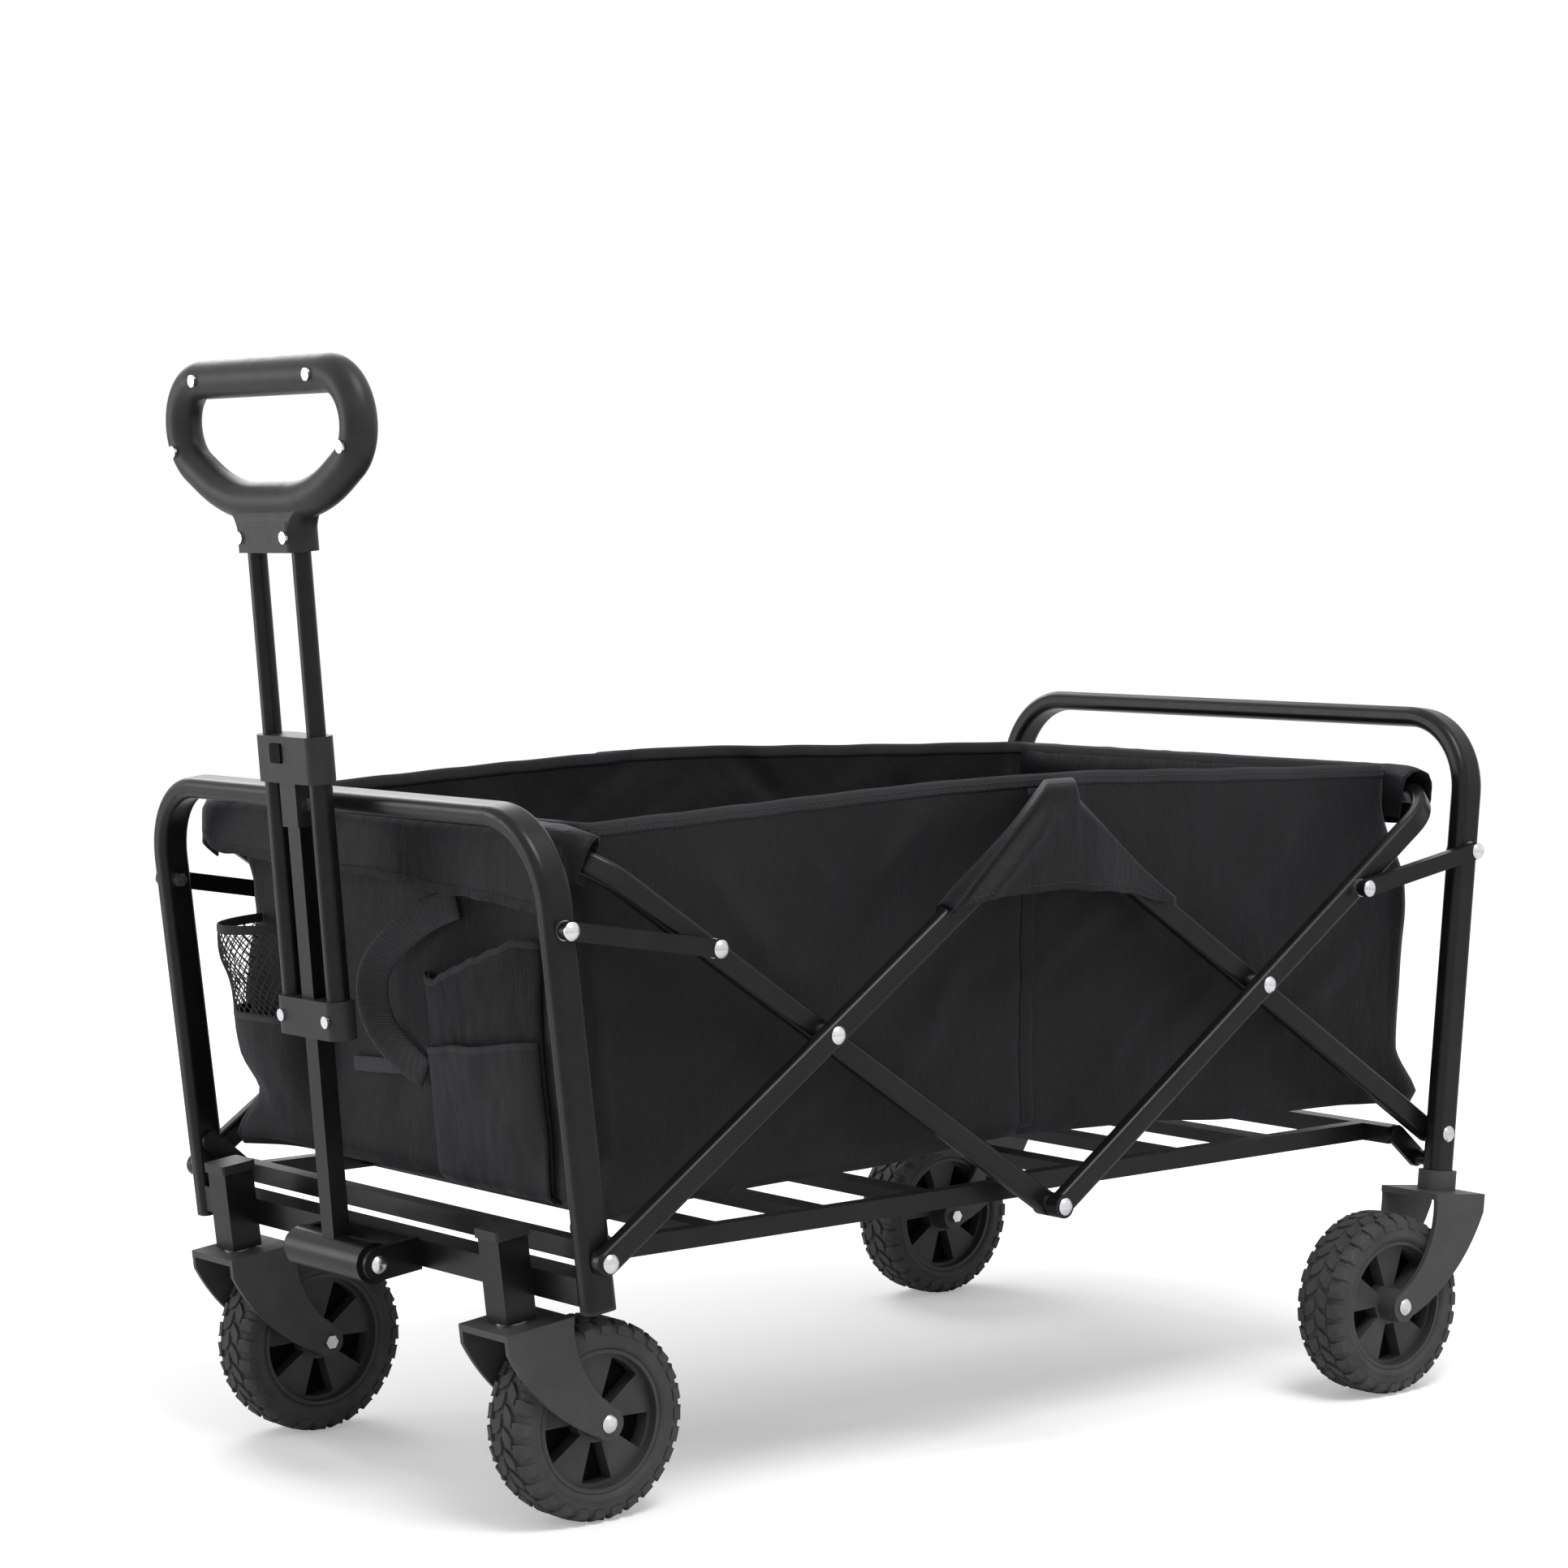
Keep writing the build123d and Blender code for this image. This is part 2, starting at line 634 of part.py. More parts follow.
with BuildPart() as rear_stay_rivets:
    rivet_pair(rear_stay_inside, rear_stay_outside, stay_y, stay_z, outer_link_outside)
save(rear_stay_rivets, "rear_stay_rivets")

# Folding floor: rails with cross slats, hinged at the end frames and overlapping at the middle
floor_pivot_y = half_base - floor_pivot_inset
pin_bore = floor_pin_diameter + 2 * bolt_clearance
lug_inner = front_leg_inside - lug_thickness
tube_half = lug_inner - seat_gap
rail_start = floor_pivot_y - floor_tube_size / 2
rail_length = rail_start + rail_overlap
floor_sets = (("front", -1, floor_rail_x), ("rear", 1, floor_rail_x - rail_width - rail_gap))
for word, end_sign, rail_x in floor_sets:
    with BuildPart() as rails:
        with Locations((-rail_x, end_sign * (rail_start - rail_length / 2), floor_height),
                       (rail_x, end_sign * (rail_start - rail_length / 2), floor_height)):
            Box(rail_width, rail_length, rail_height)
            Box(rail_width - 2 * floor_wall, rail_length, rail_height - 2 * floor_wall, mode=Mode.SUBTRACT)
    save(rails, f"floor_{word}_rails")
    with BuildPart() as bars:
        for index in range(slat_count):
            with Locations((0, end_sign * (rail_start - (index + 1) * slat_pitch), floor_height)):
                Box(2 * rail_x - rail_width, slat_width, slat_height)
                Box(2 * rail_x - rail_width, slat_width - 2 * floor_wall, slat_height - 2 * floor_wall,
                    mode=Mode.SUBTRACT)
        with Locations((0, end_sign * floor_pivot_y, floor_height)):
            Box(2 * tube_half, floor_tube_size, floor_tube_size)
        side_hole(0, end_sign * floor_pivot_y, floor_height, pin_bore, 2 * tube_half)
    save(bars, f"floor_{word}_bars")

# Lugs inside the legs with the pins that the floor swings on
lug_sets = (("front_floor_lugs", front_plane, -1, lug_offset, front_leg_inside),
            ("rear_floor_lugs", rear_plane, 1, -lug_offset, rear_leg_inside))
for name, frame, end_sign, rise, leg_face in lug_sets:
    root_point = world(frame, 0, rise, 0)
    with BuildPart() as lugs:
        for side in (-1, 1):
            with BuildSketch(side_plane.offset(side * (lug_inner + lug_thickness / 2) - lug_thickness / 2)):
                with Locations((root_point.Y, root_point.Z), (end_sign * floor_pivot_y, floor_height)):
                    Circle(lug_radius)
                make_hull()
            extrude(amount=lug_thickness)
            if leg_face > front_leg_inside:
                side_rod(side * lug_inner, side * leg_face, root_point.Y, root_point.Z, 1.5 * lug_radius)
            side_rod(side * (lug_inner - floor_pin_reach), side * lug_inner, end_sign * floor_pivot_y,
                     floor_height, floor_pin_diameter)
    save(lugs, name)

# Fabric tub: an open shell that hangs between the hoops, just above the floor
hoop_flat = (link_thickness / 2 - link_corner) * cos(radians(arm_angle))
hoop_side = (link_depth / 2 - link_corner) * sin(radians(arm_angle))
hoop_half_y = hoop_flat + hoop_side + link_corner
hoop_top_y = cross_y + hoop_reach * cos(radians(arm_angle))
hoop_edge = (link_thickness / 2 - link_corner) * sin(radians(arm_angle))
hoop_crest = (link_depth / 2 - link_corner) * cos(radians(arm_angle))
hoop_top_z = cross_z + hoop_reach * sin(radians(arm_angle)) + hoop_edge + hoop_crest + link_corner
bag_top = max(hoop_top_z, top_pivot_z + link_depth / 2) + bag_rim
bag_base = floor_height + rail_height / 2 + bag_lift
bag_top_half = hoop_top_y - hoop_half_y - seat_gap
bag_base_half = bag_top_half - bag_base_inset
with BuildPart() as bag_shell:
    for inset, mode in ((0, Mode.ADD), (bag_wall, Mode.SUBTRACT)):
        with BuildSketch(Plane.XY.offset(bag_base + inset)) as bag_floor:
            RectangleRounded(2 * (bag_half_width - inset), 2 * (bag_base_half - inset), bag_corner - inset)
        with BuildSketch(Plane.XY.offset(bag_top)) as bag_mouth:
            RectangleRounded(2 * (bag_half_width - inset), 2 * (bag_top_half - inset), bag_corner - inset)
        loft([bag_floor.sketch.faces()[0], bag_mouth.sketch.faces()[0]], ruled=True, mode=mode)
    fillet(bag_shell.faces().sort_by(Axis.Z)[0].edges(), bag_base_corner)
save(bag_shell, "bag_shell")

# Hems at both ends of the tub: fabric laid over the cross tubes of the hoops, hanging down outside
hem_half = bag_half_width - bag_corner
hem_out = hoop_top_y + hoop_half_y + seat_gap + hem_wall
with BuildPart() as end_hems:
    for end_sign in (-1, 1):
        with Locations((0, end_sign * (bag_top_half + hem_out) / 2, bag_top - hem_wall / 2)):
            Box(2 * hem_half, hem_out - bag_top_half, hem_wall)
        with Locations((0, end_sign * (hem_out - hem_wall / 2), bag_top - hem_drop / 2)):
            Box(2 * hem_half, hem_wall, hem_drop)
save(end_hems, "end_hems")

# Triangular flaps sewn to the top edge, hanging over the upper arm ends
flap_x = outer_link_outside + flap_clearance
with BuildPart() as side_flaps:
    for side in (-1, 1):
        flap_low = side * (flap_x + flap_thickness / 2) - flap_thickness / 2
        with BuildSketch(side_plane.offset(flap_low)):
            with BuildLine():
                Polyline((-flap_half_width, bag_top - flap_drop),
                         (-flap_half_bridge, bag_top + flap_thickness),
                         (flap_half_bridge, bag_top + flap_thickness),
                         (flap_half_width, bag_top - flap_drop))
                ThreePointArc((flap_half_width, bag_top - flap_drop),
                              (0, bag_top - flap_drop + flap_arch),
                              (-flap_half_width, bag_top - flap_drop))
            make_face()
        extrude(amount=flap_thickness)
        bridge_in = bag_half_width - bag_wall
        with Locations((side * (bridge_in + flap_x) / 2, 0, bag_top + flap_thickness / 2)):
            Box(flap_x - bridge_in, 2 * flap_half_bridge, flap_thickness)
save(side_flaps, "side_flaps")

# Pockets and strap on the front panel
panel_rise = Vector(0, -bag_base_inset, bag_top - bag_base).normalized()
panel_plane = Plane((0, -bag_base_half, bag_base), x_dir=(1, 0, 0), z_dir=Vector(1, 0, 0).cross(panel_rise))
pocket_sets = ((cup_pocket_x, cup_pocket_width, cup_pocket_height),
               (flat_pocket_x, flat_pocket_width, flat_pocket_height))
with BuildPart(panel_plane) as front_pockets:
    for pocket_x, pocket_width, pocket_height in pocket_sets:
        with Locations((pocket_x, pocket_lift + pocket_height / 2, pocket_depth / 2)):
            Box(pocket_width, pocket_height, pocket_depth)
        with Locations((pocket_x, pocket_lift + pocket_height / 2 + pocket_wall, pocket_depth / 2)):
            Box(pocket_width - 2 * pocket_wall, pocket_height, pocket_depth - 2 * pocket_wall,
                mode=Mode.SUBTRACT)
save(front_pockets, "front_pockets")

with BuildPart() as strap_band:
    strap_up = bag_top - strap_drop - bag_base - strap_length / 2
    strap_foot = world(panel_plane, strap_x - strap_width / 2, strap_up, strap_loop / 2)
    strap_plane = Plane(strap_foot, x_dir=panel_plane.y_dir, z_dir=(1, 0, 0))
    with BuildSketch(strap_plane):
        SlotOverall(strap_length, strap_loop)
        SlotOverall(strap_length - 2 * strap_thickness, strap_loop - 2 * strap_thickness,
                    mode=Mode.SUBTRACT)
    extrude(amount=strap_width)
save(strap_band, "strap_band")

# Handle bracket: a plate on the cross bar with two ears that hold the pivot bolt
ear_inside = sleeve_length / 2 + seat_gap
ear_outside = ear_inside + bracket_ear
bracket_back = cross_bar_size / 2
with BuildPart(front_plane) as handle_bracket:
    with Locations((0, -cross_bar_drop, bracket_back + bracket_plate / 2)):
        Box(2 * ear_outside, 2 * bracket_ear_radius, bracket_plate)
    for side in (-1, 1):
        ear_x = side * (ear_inside + ear_outside) / 2
        with Locations((ear_x, -cross_bar_drop, (bracket_back + handle_forward) / 2)):
            Box(bracket_ear, 2 * bracket_ear_radius, handle_forward - bracket_back)
        with Locations(Location((ear_x, -cross_bar_drop, handle_forward), (0, 90, 0))):
            Cylinder(bracket_ear_radius, bracket_ear)
pivot_bore = handle_bolt_diameter + 2 * bolt_clearance
with BuildPart() as drilled_bracket:
    add(handle_bracket.part)
    side_hole(0, handle_pivot.Y, handle_pivot.Z, pivot_bore, 4 * ear_outside)
save(drilled_bracket, "handle_bracket")

with BuildPart() as handle_pivot_bolt:
    dome_bolt(-ear_outside - nut_height, ear_outside, handle_pivot.Y, handle_pivot.Z, handle_bolt_diameter)
save(handle_pivot_bolt, "handle_pivot_bolt")

# Handle stem: pivot sleeve with a welded square tube
outer_tube_diameter = inner_tube_diameter + 2 * slide_clearance + 2 * outer_tube_wall
stem_socket = housing_wall + handle_collar_height / 4
stem_top = collar_base + stem_socket
stem_foot = -cross_bar_drop + sleeve_diameter * 0.4
with BuildPart() as handle_stem:
    with Locations(Location((0, handle_pivot.Y, handle_pivot.Z), (0, 90, 0))):
        Cylinder(sleeve_diameter / 2, sleeve_length)
    stem_plane = Plane(world(handle_plane, 0, stem_foot, 0), x_dir=(1, 0, 0), z_dir=handle_plane.y_dir)
    with BuildSketch(stem_plane):
        Rectangle(stem_width, stem_depth)
    extrude(amount=stem_top - stem_foot)
    with BuildSketch(stem_plane.offset(sleeve_diameter / 2)):
        Rectangle(stem_width - 2 * stem_wall, stem_depth - 2 * stem_wall)
    extrude(amount=stem_top - stem_foot, mode=Mode.SUBTRACT)
    side_hole(0, handle_pivot.Y, handle_pivot.Z, pivot_bore, 2 * sleeve_length)
save(handle_stem, "handle_stem")


def handle_level(up):
    """Plane across the handle at a height along its stem, x lateral and z up the stem."""
    return Plane(world(handle_plane, 0, up, 0), x_dir=(1, 0, 0), z_dir=handle_plane.y_dir)


def tube_pair(base, top, diameter, bore):
    """Two round tubes side by side along the handle."""
    with BuildSketch(handle_level(base)) as rings:
        with Locations((-handle_tube_x, 0), (handle_tube_x, 0)):
            Circle(diameter / 2)
            Circle(bore / 2, mode=Mode.SUBTRACT)
    extrude(rings.sketch, amount=top - base)


def tube_sockets(base, top, diameter):
    """Cut round seats for the tube pair."""
    with BuildSketch(handle_level(base)) as seats:
        with Locations((-handle_tube_x, 0), (handle_tube_x, 0)):
            Circle(diameter / 2)
    extrude(seats.sketch, amount=top - base, mode=Mode.SUBTRACT)


housing_depth = outer_tube_diameter + 2 * housing_wall
collar_top = collar_base + handle_collar_height
outer_tube_base = clamp_base + housing_wall
outer_tube_top = collar_top - housing_wall
outer_tube_bore = outer_tube_diameter - 2 * outer_tube_wall
with BuildPart() as handle_outer_tubes:
    tube_pair(outer_tube_base, outer_tube_top, outer_tube_diameter, outer_tube_bore)
save(handle_outer_tubes, "handle_outer_tubes")


def front_screw(plane, x, up, face, depth):
    """Add a round-headed screw that points out of the front of the handle."""
    seat = plane.offset(face)
    with BuildSketch(seat) as head:
        with Locations((x, up)):
            Circle(screw_diameter / 2)
    extrude(head.sketch, amount=screw_head)
    with BuildSketch(seat) as shank:
        with Locations((x, up)):
            Circle(screw_shank / 2)
    extrude(shank.sketch, amount=-depth)


def screw_hole(plane, x, up, face, depth):
    """Cut the hole that a front screw sits in."""
    with BuildSketch(plane.offset(face)) as hole:
        with Locations((x, up)):
            Circle(screw_shank / 2 + bolt_clearance)
    extrude(hole.sketch, amount=-depth, mode=Mode.SUBTRACT)


# Lower clamp: holds the feet of the outer tubes to the stem, with a screw over each tube
clamp_screw_up = clamp_base + clamp_height / 2
clamp_screw_depth = housing_wall - seat_gap
with BuildPart() as handle_clamp:
    with BuildSketch(handle_level(clamp_base)):
        SlotCenterToCenter(2 * handle_tube_x, housing_depth)
        Rectangle(stem_width, stem_depth, mode=Mode.SUBTRACT)
    extrude(amount=clamp_height)
    tube_sockets(outer_tube_base, clamp_base + clamp_height, outer_tube_diameter)
    for side in (-1, 1):
        screw_hole(handle_plane, side * handle_tube_x, clamp_screw_up, housing_depth / 2,
                   clamp_screw_depth)
save(handle_clamp, "handle_clamp")

# Ferrule round the stem just below the collar, with a screw in its right side
ferrule_base = collar_base - ferrule_height
ferrule_face = stem_width / 2 + ferrule_wall
ferrule_plane = Plane(handle_plane.origin, x_dir=-handle_plane.z_dir, z_dir=(1, 0, 0))
with BuildPart() as stem_ferrule:
    with BuildSketch(handle_level(ferrule_base)):
        Rectangle(stem_width + 2 * ferrule_wall, stem_depth + 2 * ferrule_wall)
        Rectangle(stem_width, stem_depth, mode=Mode.SUBTRACT)
    extrude(amount=ferrule_height)
    screw_hole(ferrule_plane, 0, ferrule_base + ferrule_height / 2, ferrule_face, ferrule_wall)
save(stem_ferrule, "stem_ferrule")

# Screws of the clamp and the ferrule
with BuildPart() as clamp_screws:
    for side in (-1, 1):
        front_screw(handle_plane, side * handle_tube_x, clamp_screw_up, housing_depth / 2,
                    clamp_screw_depth)
    front_screw(ferrule_plane, 0, ferrule_base + ferrule_height / 2, ferrule_face, ferrule_wall)
save(clamp_screws, "clamp_screws")

# Collar at the top of the outer tubes, with a window for the release button
button_base = stem_top + housing_wall
button_front = housing_depth / 2
button_back = button_front - housing_wall - button_travel
with BuildPart() as handle_collar:
    with BuildSketch(handle_level(collar_base)):
        SlotCenterToCenter(2 * handle_tube_x, housing_depth)
    extrude(amount=handle_collar_height)
    with BuildSketch(handle_level(collar_base)):
        Rectangle(stem_width, stem_depth)
    extrude(amount=stem_socket, mode=Mode.SUBTRACT)
    tube_sockets(collar_base, outer_tube_top, outer_tube_diameter)
    tube_sockets(outer_tube_top, collar_top, inner_tube_diameter + 2 * slide_clearance)
    with BuildSketch(handle_plane.offset(button_back - button_travel)):
        with Locations((button_x, button_base + button_height / 2)):
            Rectangle(button_width + 2 * slide_clearance, button_height + 2 * slide_clearance)
    extrude(amount=housing_depth, mode=Mode.SUBTRACT)
save(handle_collar, "handle_collar")

with BuildPart() as release_button:
    with BuildSketch(handle_plane.offset(button_back)):
        with Locations((button_x, button_base + button_height / 2)):
            RectangleRounded(button_width, button_height, button_corner)
    extrude(amount=button_front + button_proud - button_back)
save(release_button, "release_button")

# Inner tubes that slide in the outer pair
inner_tube_base = collar_top - handle_overlap
inner_tube_top = grip_base + grip_socket
inner_tube_bore = inner_tube_diameter - 2 * inner_tube_wall
with BuildPart() as handle_inner_tubes:
    tube_pair(inner_tube_base, inner_tube_top, inner_tube_diameter, inner_tube_bore)
save(handle_inner_tubes, "handle_inner_tubes")

# Loop grip: a round bar bent to a wide loop above a neck that holds the tubes
grip_bar_up = grip_base + grip_height - grip_bar / 2
grip_low_up = grip_base + grip_neck_height + grip_bar / 2
lobe_x = grip_half_width - grip_bar / 2 - grip_lobe
lobe_up = grip_bar_up - grip_lobe
side_x = lobe_x + grip_lobe * sin(radians(grip_slope))
side_up = lobe_up - grip_lobe * cos(radians(grip_slope))
corner_x = side_x - (side_up - grip_low_up) / tan(radians(grip_slope))
screw_sites = []
for side in (-1, 1):
    screw_sites.append((side * lobe_x * 0.92, grip_bar_up))
    screw_sites.append((side * (lobe_x + grip_lobe * cos(radians(grip_slope))),
                        lobe_up - grip_lobe * sin(radians(grip_slope))))
neck_screws = [(side * handle_tube_x, grip_base + grip_neck_height / 2) for side in (-1, 1)]
# Flare of the neck into the loop: share of its height, share of its widening, share of its thickness
neck_sections = ((0.30, -0.02, 0.96), (0.58, 0.10, 0.96), (0.82, 0.46, 0.84), (1.0, 1.0, 0.56))
with BuildPart() as handle_grip:
    with BuildLine(handle_plane) as grip_path:
        Line((-lobe_x, grip_bar_up), (lobe_x, grip_bar_up))
        CenterArc((lobe_x, lobe_up), grip_lobe, 90, grip_slope - 180)
        FilletPolyline((side_x, side_up), (corner_x, grip_low_up), (-corner_x, grip_low_up),
                       (-side_x, side_up), radius=grip_sag)
        CenterArc((-lobe_x, lobe_up), grip_lobe, 270 - grip_slope, grip_slope - 180)
    grip_wire = grip_path.wires()[0]
    with BuildSketch(Plane(grip_wire @ 0, x_dir=handle_plane.z_dir, z_dir=grip_wire % 0)) as grip_section:
        Ellipse(grip_thickness / 2, grip_bar / 2)
    sweep(sections=grip_section.sketch, path=grip_wire)
    with BuildSketch(handle_level(grip_base)):
        RectangleRounded(2 * grip_neck, grip_thickness, grip_round)
    extrude(amount=grip_neck_height)
    for rise, flare, depth in neck_sections:
        with BuildSketch(handle_level(grip_base + rise * (grip_low_up - grip_base))):
            RectangleRounded(2 * (grip_neck + flare * (grip_web - grip_neck)), depth * grip_thickness,
                             depth * grip_round)
    loft()
    tube_sockets(grip_base, inner_tube_top, inner_tube_diameter)
    for site_x, site_up in screw_sites + neck_screws:
        screw_hole(handle_plane, site_x, site_up, grip_thickness / 2, screw_depth)
save(handle_grip, "handle_grip")

with BuildPart() as grip_screws:
    for site_x, site_up in screw_sites + neck_screws:
        front_screw(handle_plane, site_x, site_up, grip_thickness / 2, screw_depth)
save(grip_screws, "grip_screws")
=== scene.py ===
import json
import math

import bmesh
import bpy
import numpy as np
from mathutils import Matrix, Vector, noise


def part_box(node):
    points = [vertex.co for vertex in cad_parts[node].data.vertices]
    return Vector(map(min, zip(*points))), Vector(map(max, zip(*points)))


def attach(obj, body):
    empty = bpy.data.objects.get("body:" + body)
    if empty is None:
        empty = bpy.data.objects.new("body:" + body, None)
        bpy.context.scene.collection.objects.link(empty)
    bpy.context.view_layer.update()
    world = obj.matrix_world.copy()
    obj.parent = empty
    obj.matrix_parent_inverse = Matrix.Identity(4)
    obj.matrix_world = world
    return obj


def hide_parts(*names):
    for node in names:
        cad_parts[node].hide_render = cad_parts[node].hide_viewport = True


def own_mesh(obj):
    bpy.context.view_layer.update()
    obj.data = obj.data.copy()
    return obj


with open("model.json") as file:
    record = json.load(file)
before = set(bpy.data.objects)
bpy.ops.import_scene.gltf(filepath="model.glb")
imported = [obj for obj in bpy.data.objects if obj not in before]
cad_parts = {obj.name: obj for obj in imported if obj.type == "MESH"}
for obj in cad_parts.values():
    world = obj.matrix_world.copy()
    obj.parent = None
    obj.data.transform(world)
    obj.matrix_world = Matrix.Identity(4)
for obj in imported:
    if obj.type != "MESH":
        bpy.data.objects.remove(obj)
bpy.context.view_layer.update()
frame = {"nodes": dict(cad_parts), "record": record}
nodes = frame["nodes"]
scene = bpy.context.scene
scene.view_settings.view_transform = "Standard"
print("frame loaded,", len(nodes), "nodes")


# finishes: small helpers that add one node each and link it
def newFinish(name):
    finish = bpy.data.materials.new(name)
    finish.use_nodes = True
    tree = finish.node_tree
    shader = tree.nodes["Principled BSDF"]
    place = tree.nodes.new("ShaderNodeTexCoord").outputs["Object"]
    return finish, tree, shader, place


def addNoise(tree, place, scale, detail=3.0, roughness=0.5, stretch=None):
    node = tree.nodes.new("ShaderNodeTexNoise")
    node.inputs["Scale"].default_value = scale
    node.inputs["Detail"].default_value = detail
    node.inputs["Roughness"].default_value = roughness
    if stretch:
        place = addMapping(tree, place, stretch)
    tree.links.new(place, node.inputs["Vector"])
    return node.outputs["Fac"]


def addMapping(tree, place, scale, turn=(0, 0, 0)):
    node = tree.nodes.new("ShaderNodeMapping")
    node.inputs["Scale"].default_value = scale
    node.inputs["Rotation"].default_value = turn
    tree.links.new(place, node.inputs["Vector"])
    return node.outputs["Vector"]


def addWave(tree, place, axis, scale, distortion=0.0):
    node = tree.nodes.new("ShaderNodeTexWave")
    node.bands_direction = axis
    node.inputs["Scale"].default_value = scale
    node.inputs["Distortion"].default_value = distortion
    tree.links.new(place, node.inputs["Vector"])
    return node.outputs["Fac"]


def addMath(tree, kind, first, second):
    node = tree.nodes.new("ShaderNodeMath")
    node.operation = kind
    for index, value in enumerate((first, second)):
        if isinstance(value, (int, float)):
            node.inputs[index].default_value = value
        else:
            tree.links.new(value, node.inputs[index])
    return node.outputs[0]


def addRange(tree, value, low, high):
    node = tree.nodes.new("ShaderNodeMapRange")
    node.inputs["To Min"].default_value = low
    node.inputs["To Max"].default_value = high
    tree.links.new(value, node.inputs["Value"])
    return node.outputs["Result"]


def addRamp(tree, value, stops):
    node = tree.nodes.new("ShaderNodeValToRGB")
    ramp = node.color_ramp
    while len(ramp.elements) < len(stops):
        ramp.elements.new(0.5)
    for element, (position, colour) in zip(ramp.elements, stops):
        element.position = position
        element.color = (*colour, 1.0)
    tree.links.new(value, node.inputs["Fac"])
    return node.outputs["Color"]


def addBump(tree, height, strength, distance, under=None):
    node = tree.nodes.new("ShaderNodeBump")
    node.inputs["Strength"].default_value = strength
    node.inputs["Distance"].default_value = distance
    tree.links.new(height, node.inputs["Height"])
    if under:
        tree.links.new(under, node.inputs["Normal"])
    return node.outputs["Normal"]


def grey(level, tint=0.0):
    return (level, level, level * (1 + tint))


# moulded, coated and plated finishes share one recipe: blotches, fine grain and a roughness that varies
def hardFinish(name, dark, light, rough, grain, depth, metallic=0.0, tint=0.03, specular=0.3):
    finish, tree, shader, place = newFinish(name)
    blotch = addNoise(tree, place, 38.0, 4.0, 0.6)
    colour = addRamp(tree, blotch, ((0.3, grey(dark, tint)), (0.72, grey(light, tint))))
    tree.links.new(colour, shader.inputs["Base Color"])
    smear = addNoise(tree, place, 110.0, 3.0, 0.6, (1.0, 1.0, 0.35))
    tree.links.new(addRange(tree, smear, rough[0], rough[1]), shader.inputs["Roughness"])
    fine = addNoise(tree, place, grain, 2.0)
    tree.links.new(addBump(tree, fine, depth, 0.0004), shader.inputs["Normal"])
    shader.inputs["Metallic"].default_value = metallic
    shader.inputs["Specular IOR Level"].default_value = specular
    return finish


# woven cloth: two sets of threads, slow patches of fading and small creases
def clothFinish(name, dark, light, threads, creases, sheen, tint=0.05, ribs=0.35):
    finish, tree, shader, place = newFinish(name)
    turned = addMapping(tree, place, (1.0, 1.0, 1.0), (0.0, 0.0, math.radians(45)))
    warp = addWave(tree, turned, "X", threads * 0.707, 0.6)
    weft = addWave(tree, place, "Z", threads, 0.6)
    weave = addMath(tree, "MULTIPLY", warp, weft)
    patch = addNoise(tree, place, 9.0, 5.0, 0.6)
    patchShare = addMath(tree, "MULTIPLY", patch, 0.75)
    weaveShare = addMath(tree, "MULTIPLY", weave, 0.25)
    shade = addMath(tree, "ADD", patchShare, weaveShare)
    colour = addRamp(tree, shade, ((0.25, grey(dark, tint)), (0.75, grey(light, tint))))
    tree.links.new(colour, shader.inputs["Base Color"])
    tree.links.new(addRange(tree, patch, 0.46, 0.70), shader.inputs["Roughness"])
    crease = addNoise(tree, place, 26.0, 4.0, 0.62, (1.0, 1.0, 0.55))
    folded = addBump(tree, crease, creases, 0.006)
    woven = addBump(tree, weave, ribs, 0.0006, folded)
    tree.links.new(woven, shader.inputs["Normal"])
    shader.inputs["Specular IOR Level"].default_value = 0.14
    shader.inputs["Sheen Weight"].default_value = sheen
    shader.inputs["Sheen Roughness"].default_value = 0.45
    shader.inputs["Sheen Tint"].default_value = (0.8, 0.86, 1.0, 1.0)
    return finish


steelFinish = hardFinish("powder_coated_steel", dark=0.004, light=0.008, rough=(0.26, 0.38), grain=900.0,
                         depth=0.08, specular=0.24)
plasticFinish = hardFinish("moulded_black_plastic", dark=0.018, light=0.028, rough=(0.34, 0.48),
                           grain=1300.0, depth=0.22, specular=0.22)
forkFinish = hardFinish("moulded_fork_plastic", dark=0.042, light=0.056, rough=(0.42, 0.60), grain=1300.0,
                        depth=0.22)
rimFinish = hardFinish("moulded_rim_plastic", dark=0.038, light=0.054, rough=(0.44, 0.62), grain=1100.0,
                       depth=0.20)
# near-black, nearly unreflective button plastic: the button's own black colour, made darker still as painted
# shade of the recess it sits in
buttonRecessShadeFinish = hardFinish("black_button_painted_recess_shade", dark=0.003, light=0.006, rough=(0.42, 0.56), grain=700.0,
                          depth=0.06, specular=0.04)
zincFinish = hardFinish("zinc_plated_steel", dark=0.55, light=0.78, rough=(0.16, 0.34), grain=500.0,
                        depth=0.12, metallic=1.0, tint=0.02)
rubberFinish = hardFinish("tread_rubber", dark=0.042, light=0.064, rough=(0.62, 0.86), grain=650.0,
                          depth=0.40, specular=0.25)
clothBlack = clothFinish("black_polyester_cloth", dark=0.006, light=0.013, threads=300.0, creases=0.55,
                         sheen=0.07)
clothPale = clothFinish("faded_pocket_cloth", dark=0.013, light=0.021, threads=300.0, creases=0.22,
                        sheen=0.08)
bindingCloth = clothFinish("ribbed_binding_tape", dark=0.016, light=0.030, threads=420.0, creases=0.10,
                           sheen=0.10)
webbingCloth = clothFinish("woven_strap_webbing", dark=0.032, light=0.064, threads=170.0, creases=0.10,
                           sheen=0.08, ribs=0.8)
threadFinish = hardFinish("sewing_thread", dark=0.022, light=0.040, rough=(0.55, 0.75), grain=2200.0,
                          depth=0.30)
# near-black plates inside the rim windows: painted shade of the deep window pockets
windowShadeFinish = hardFinish("painted_window_shade", dark=0.002, light=0.004, rough=(0.50, 0.65), grain=900.0,
                        depth=0.10, specular=0.05)

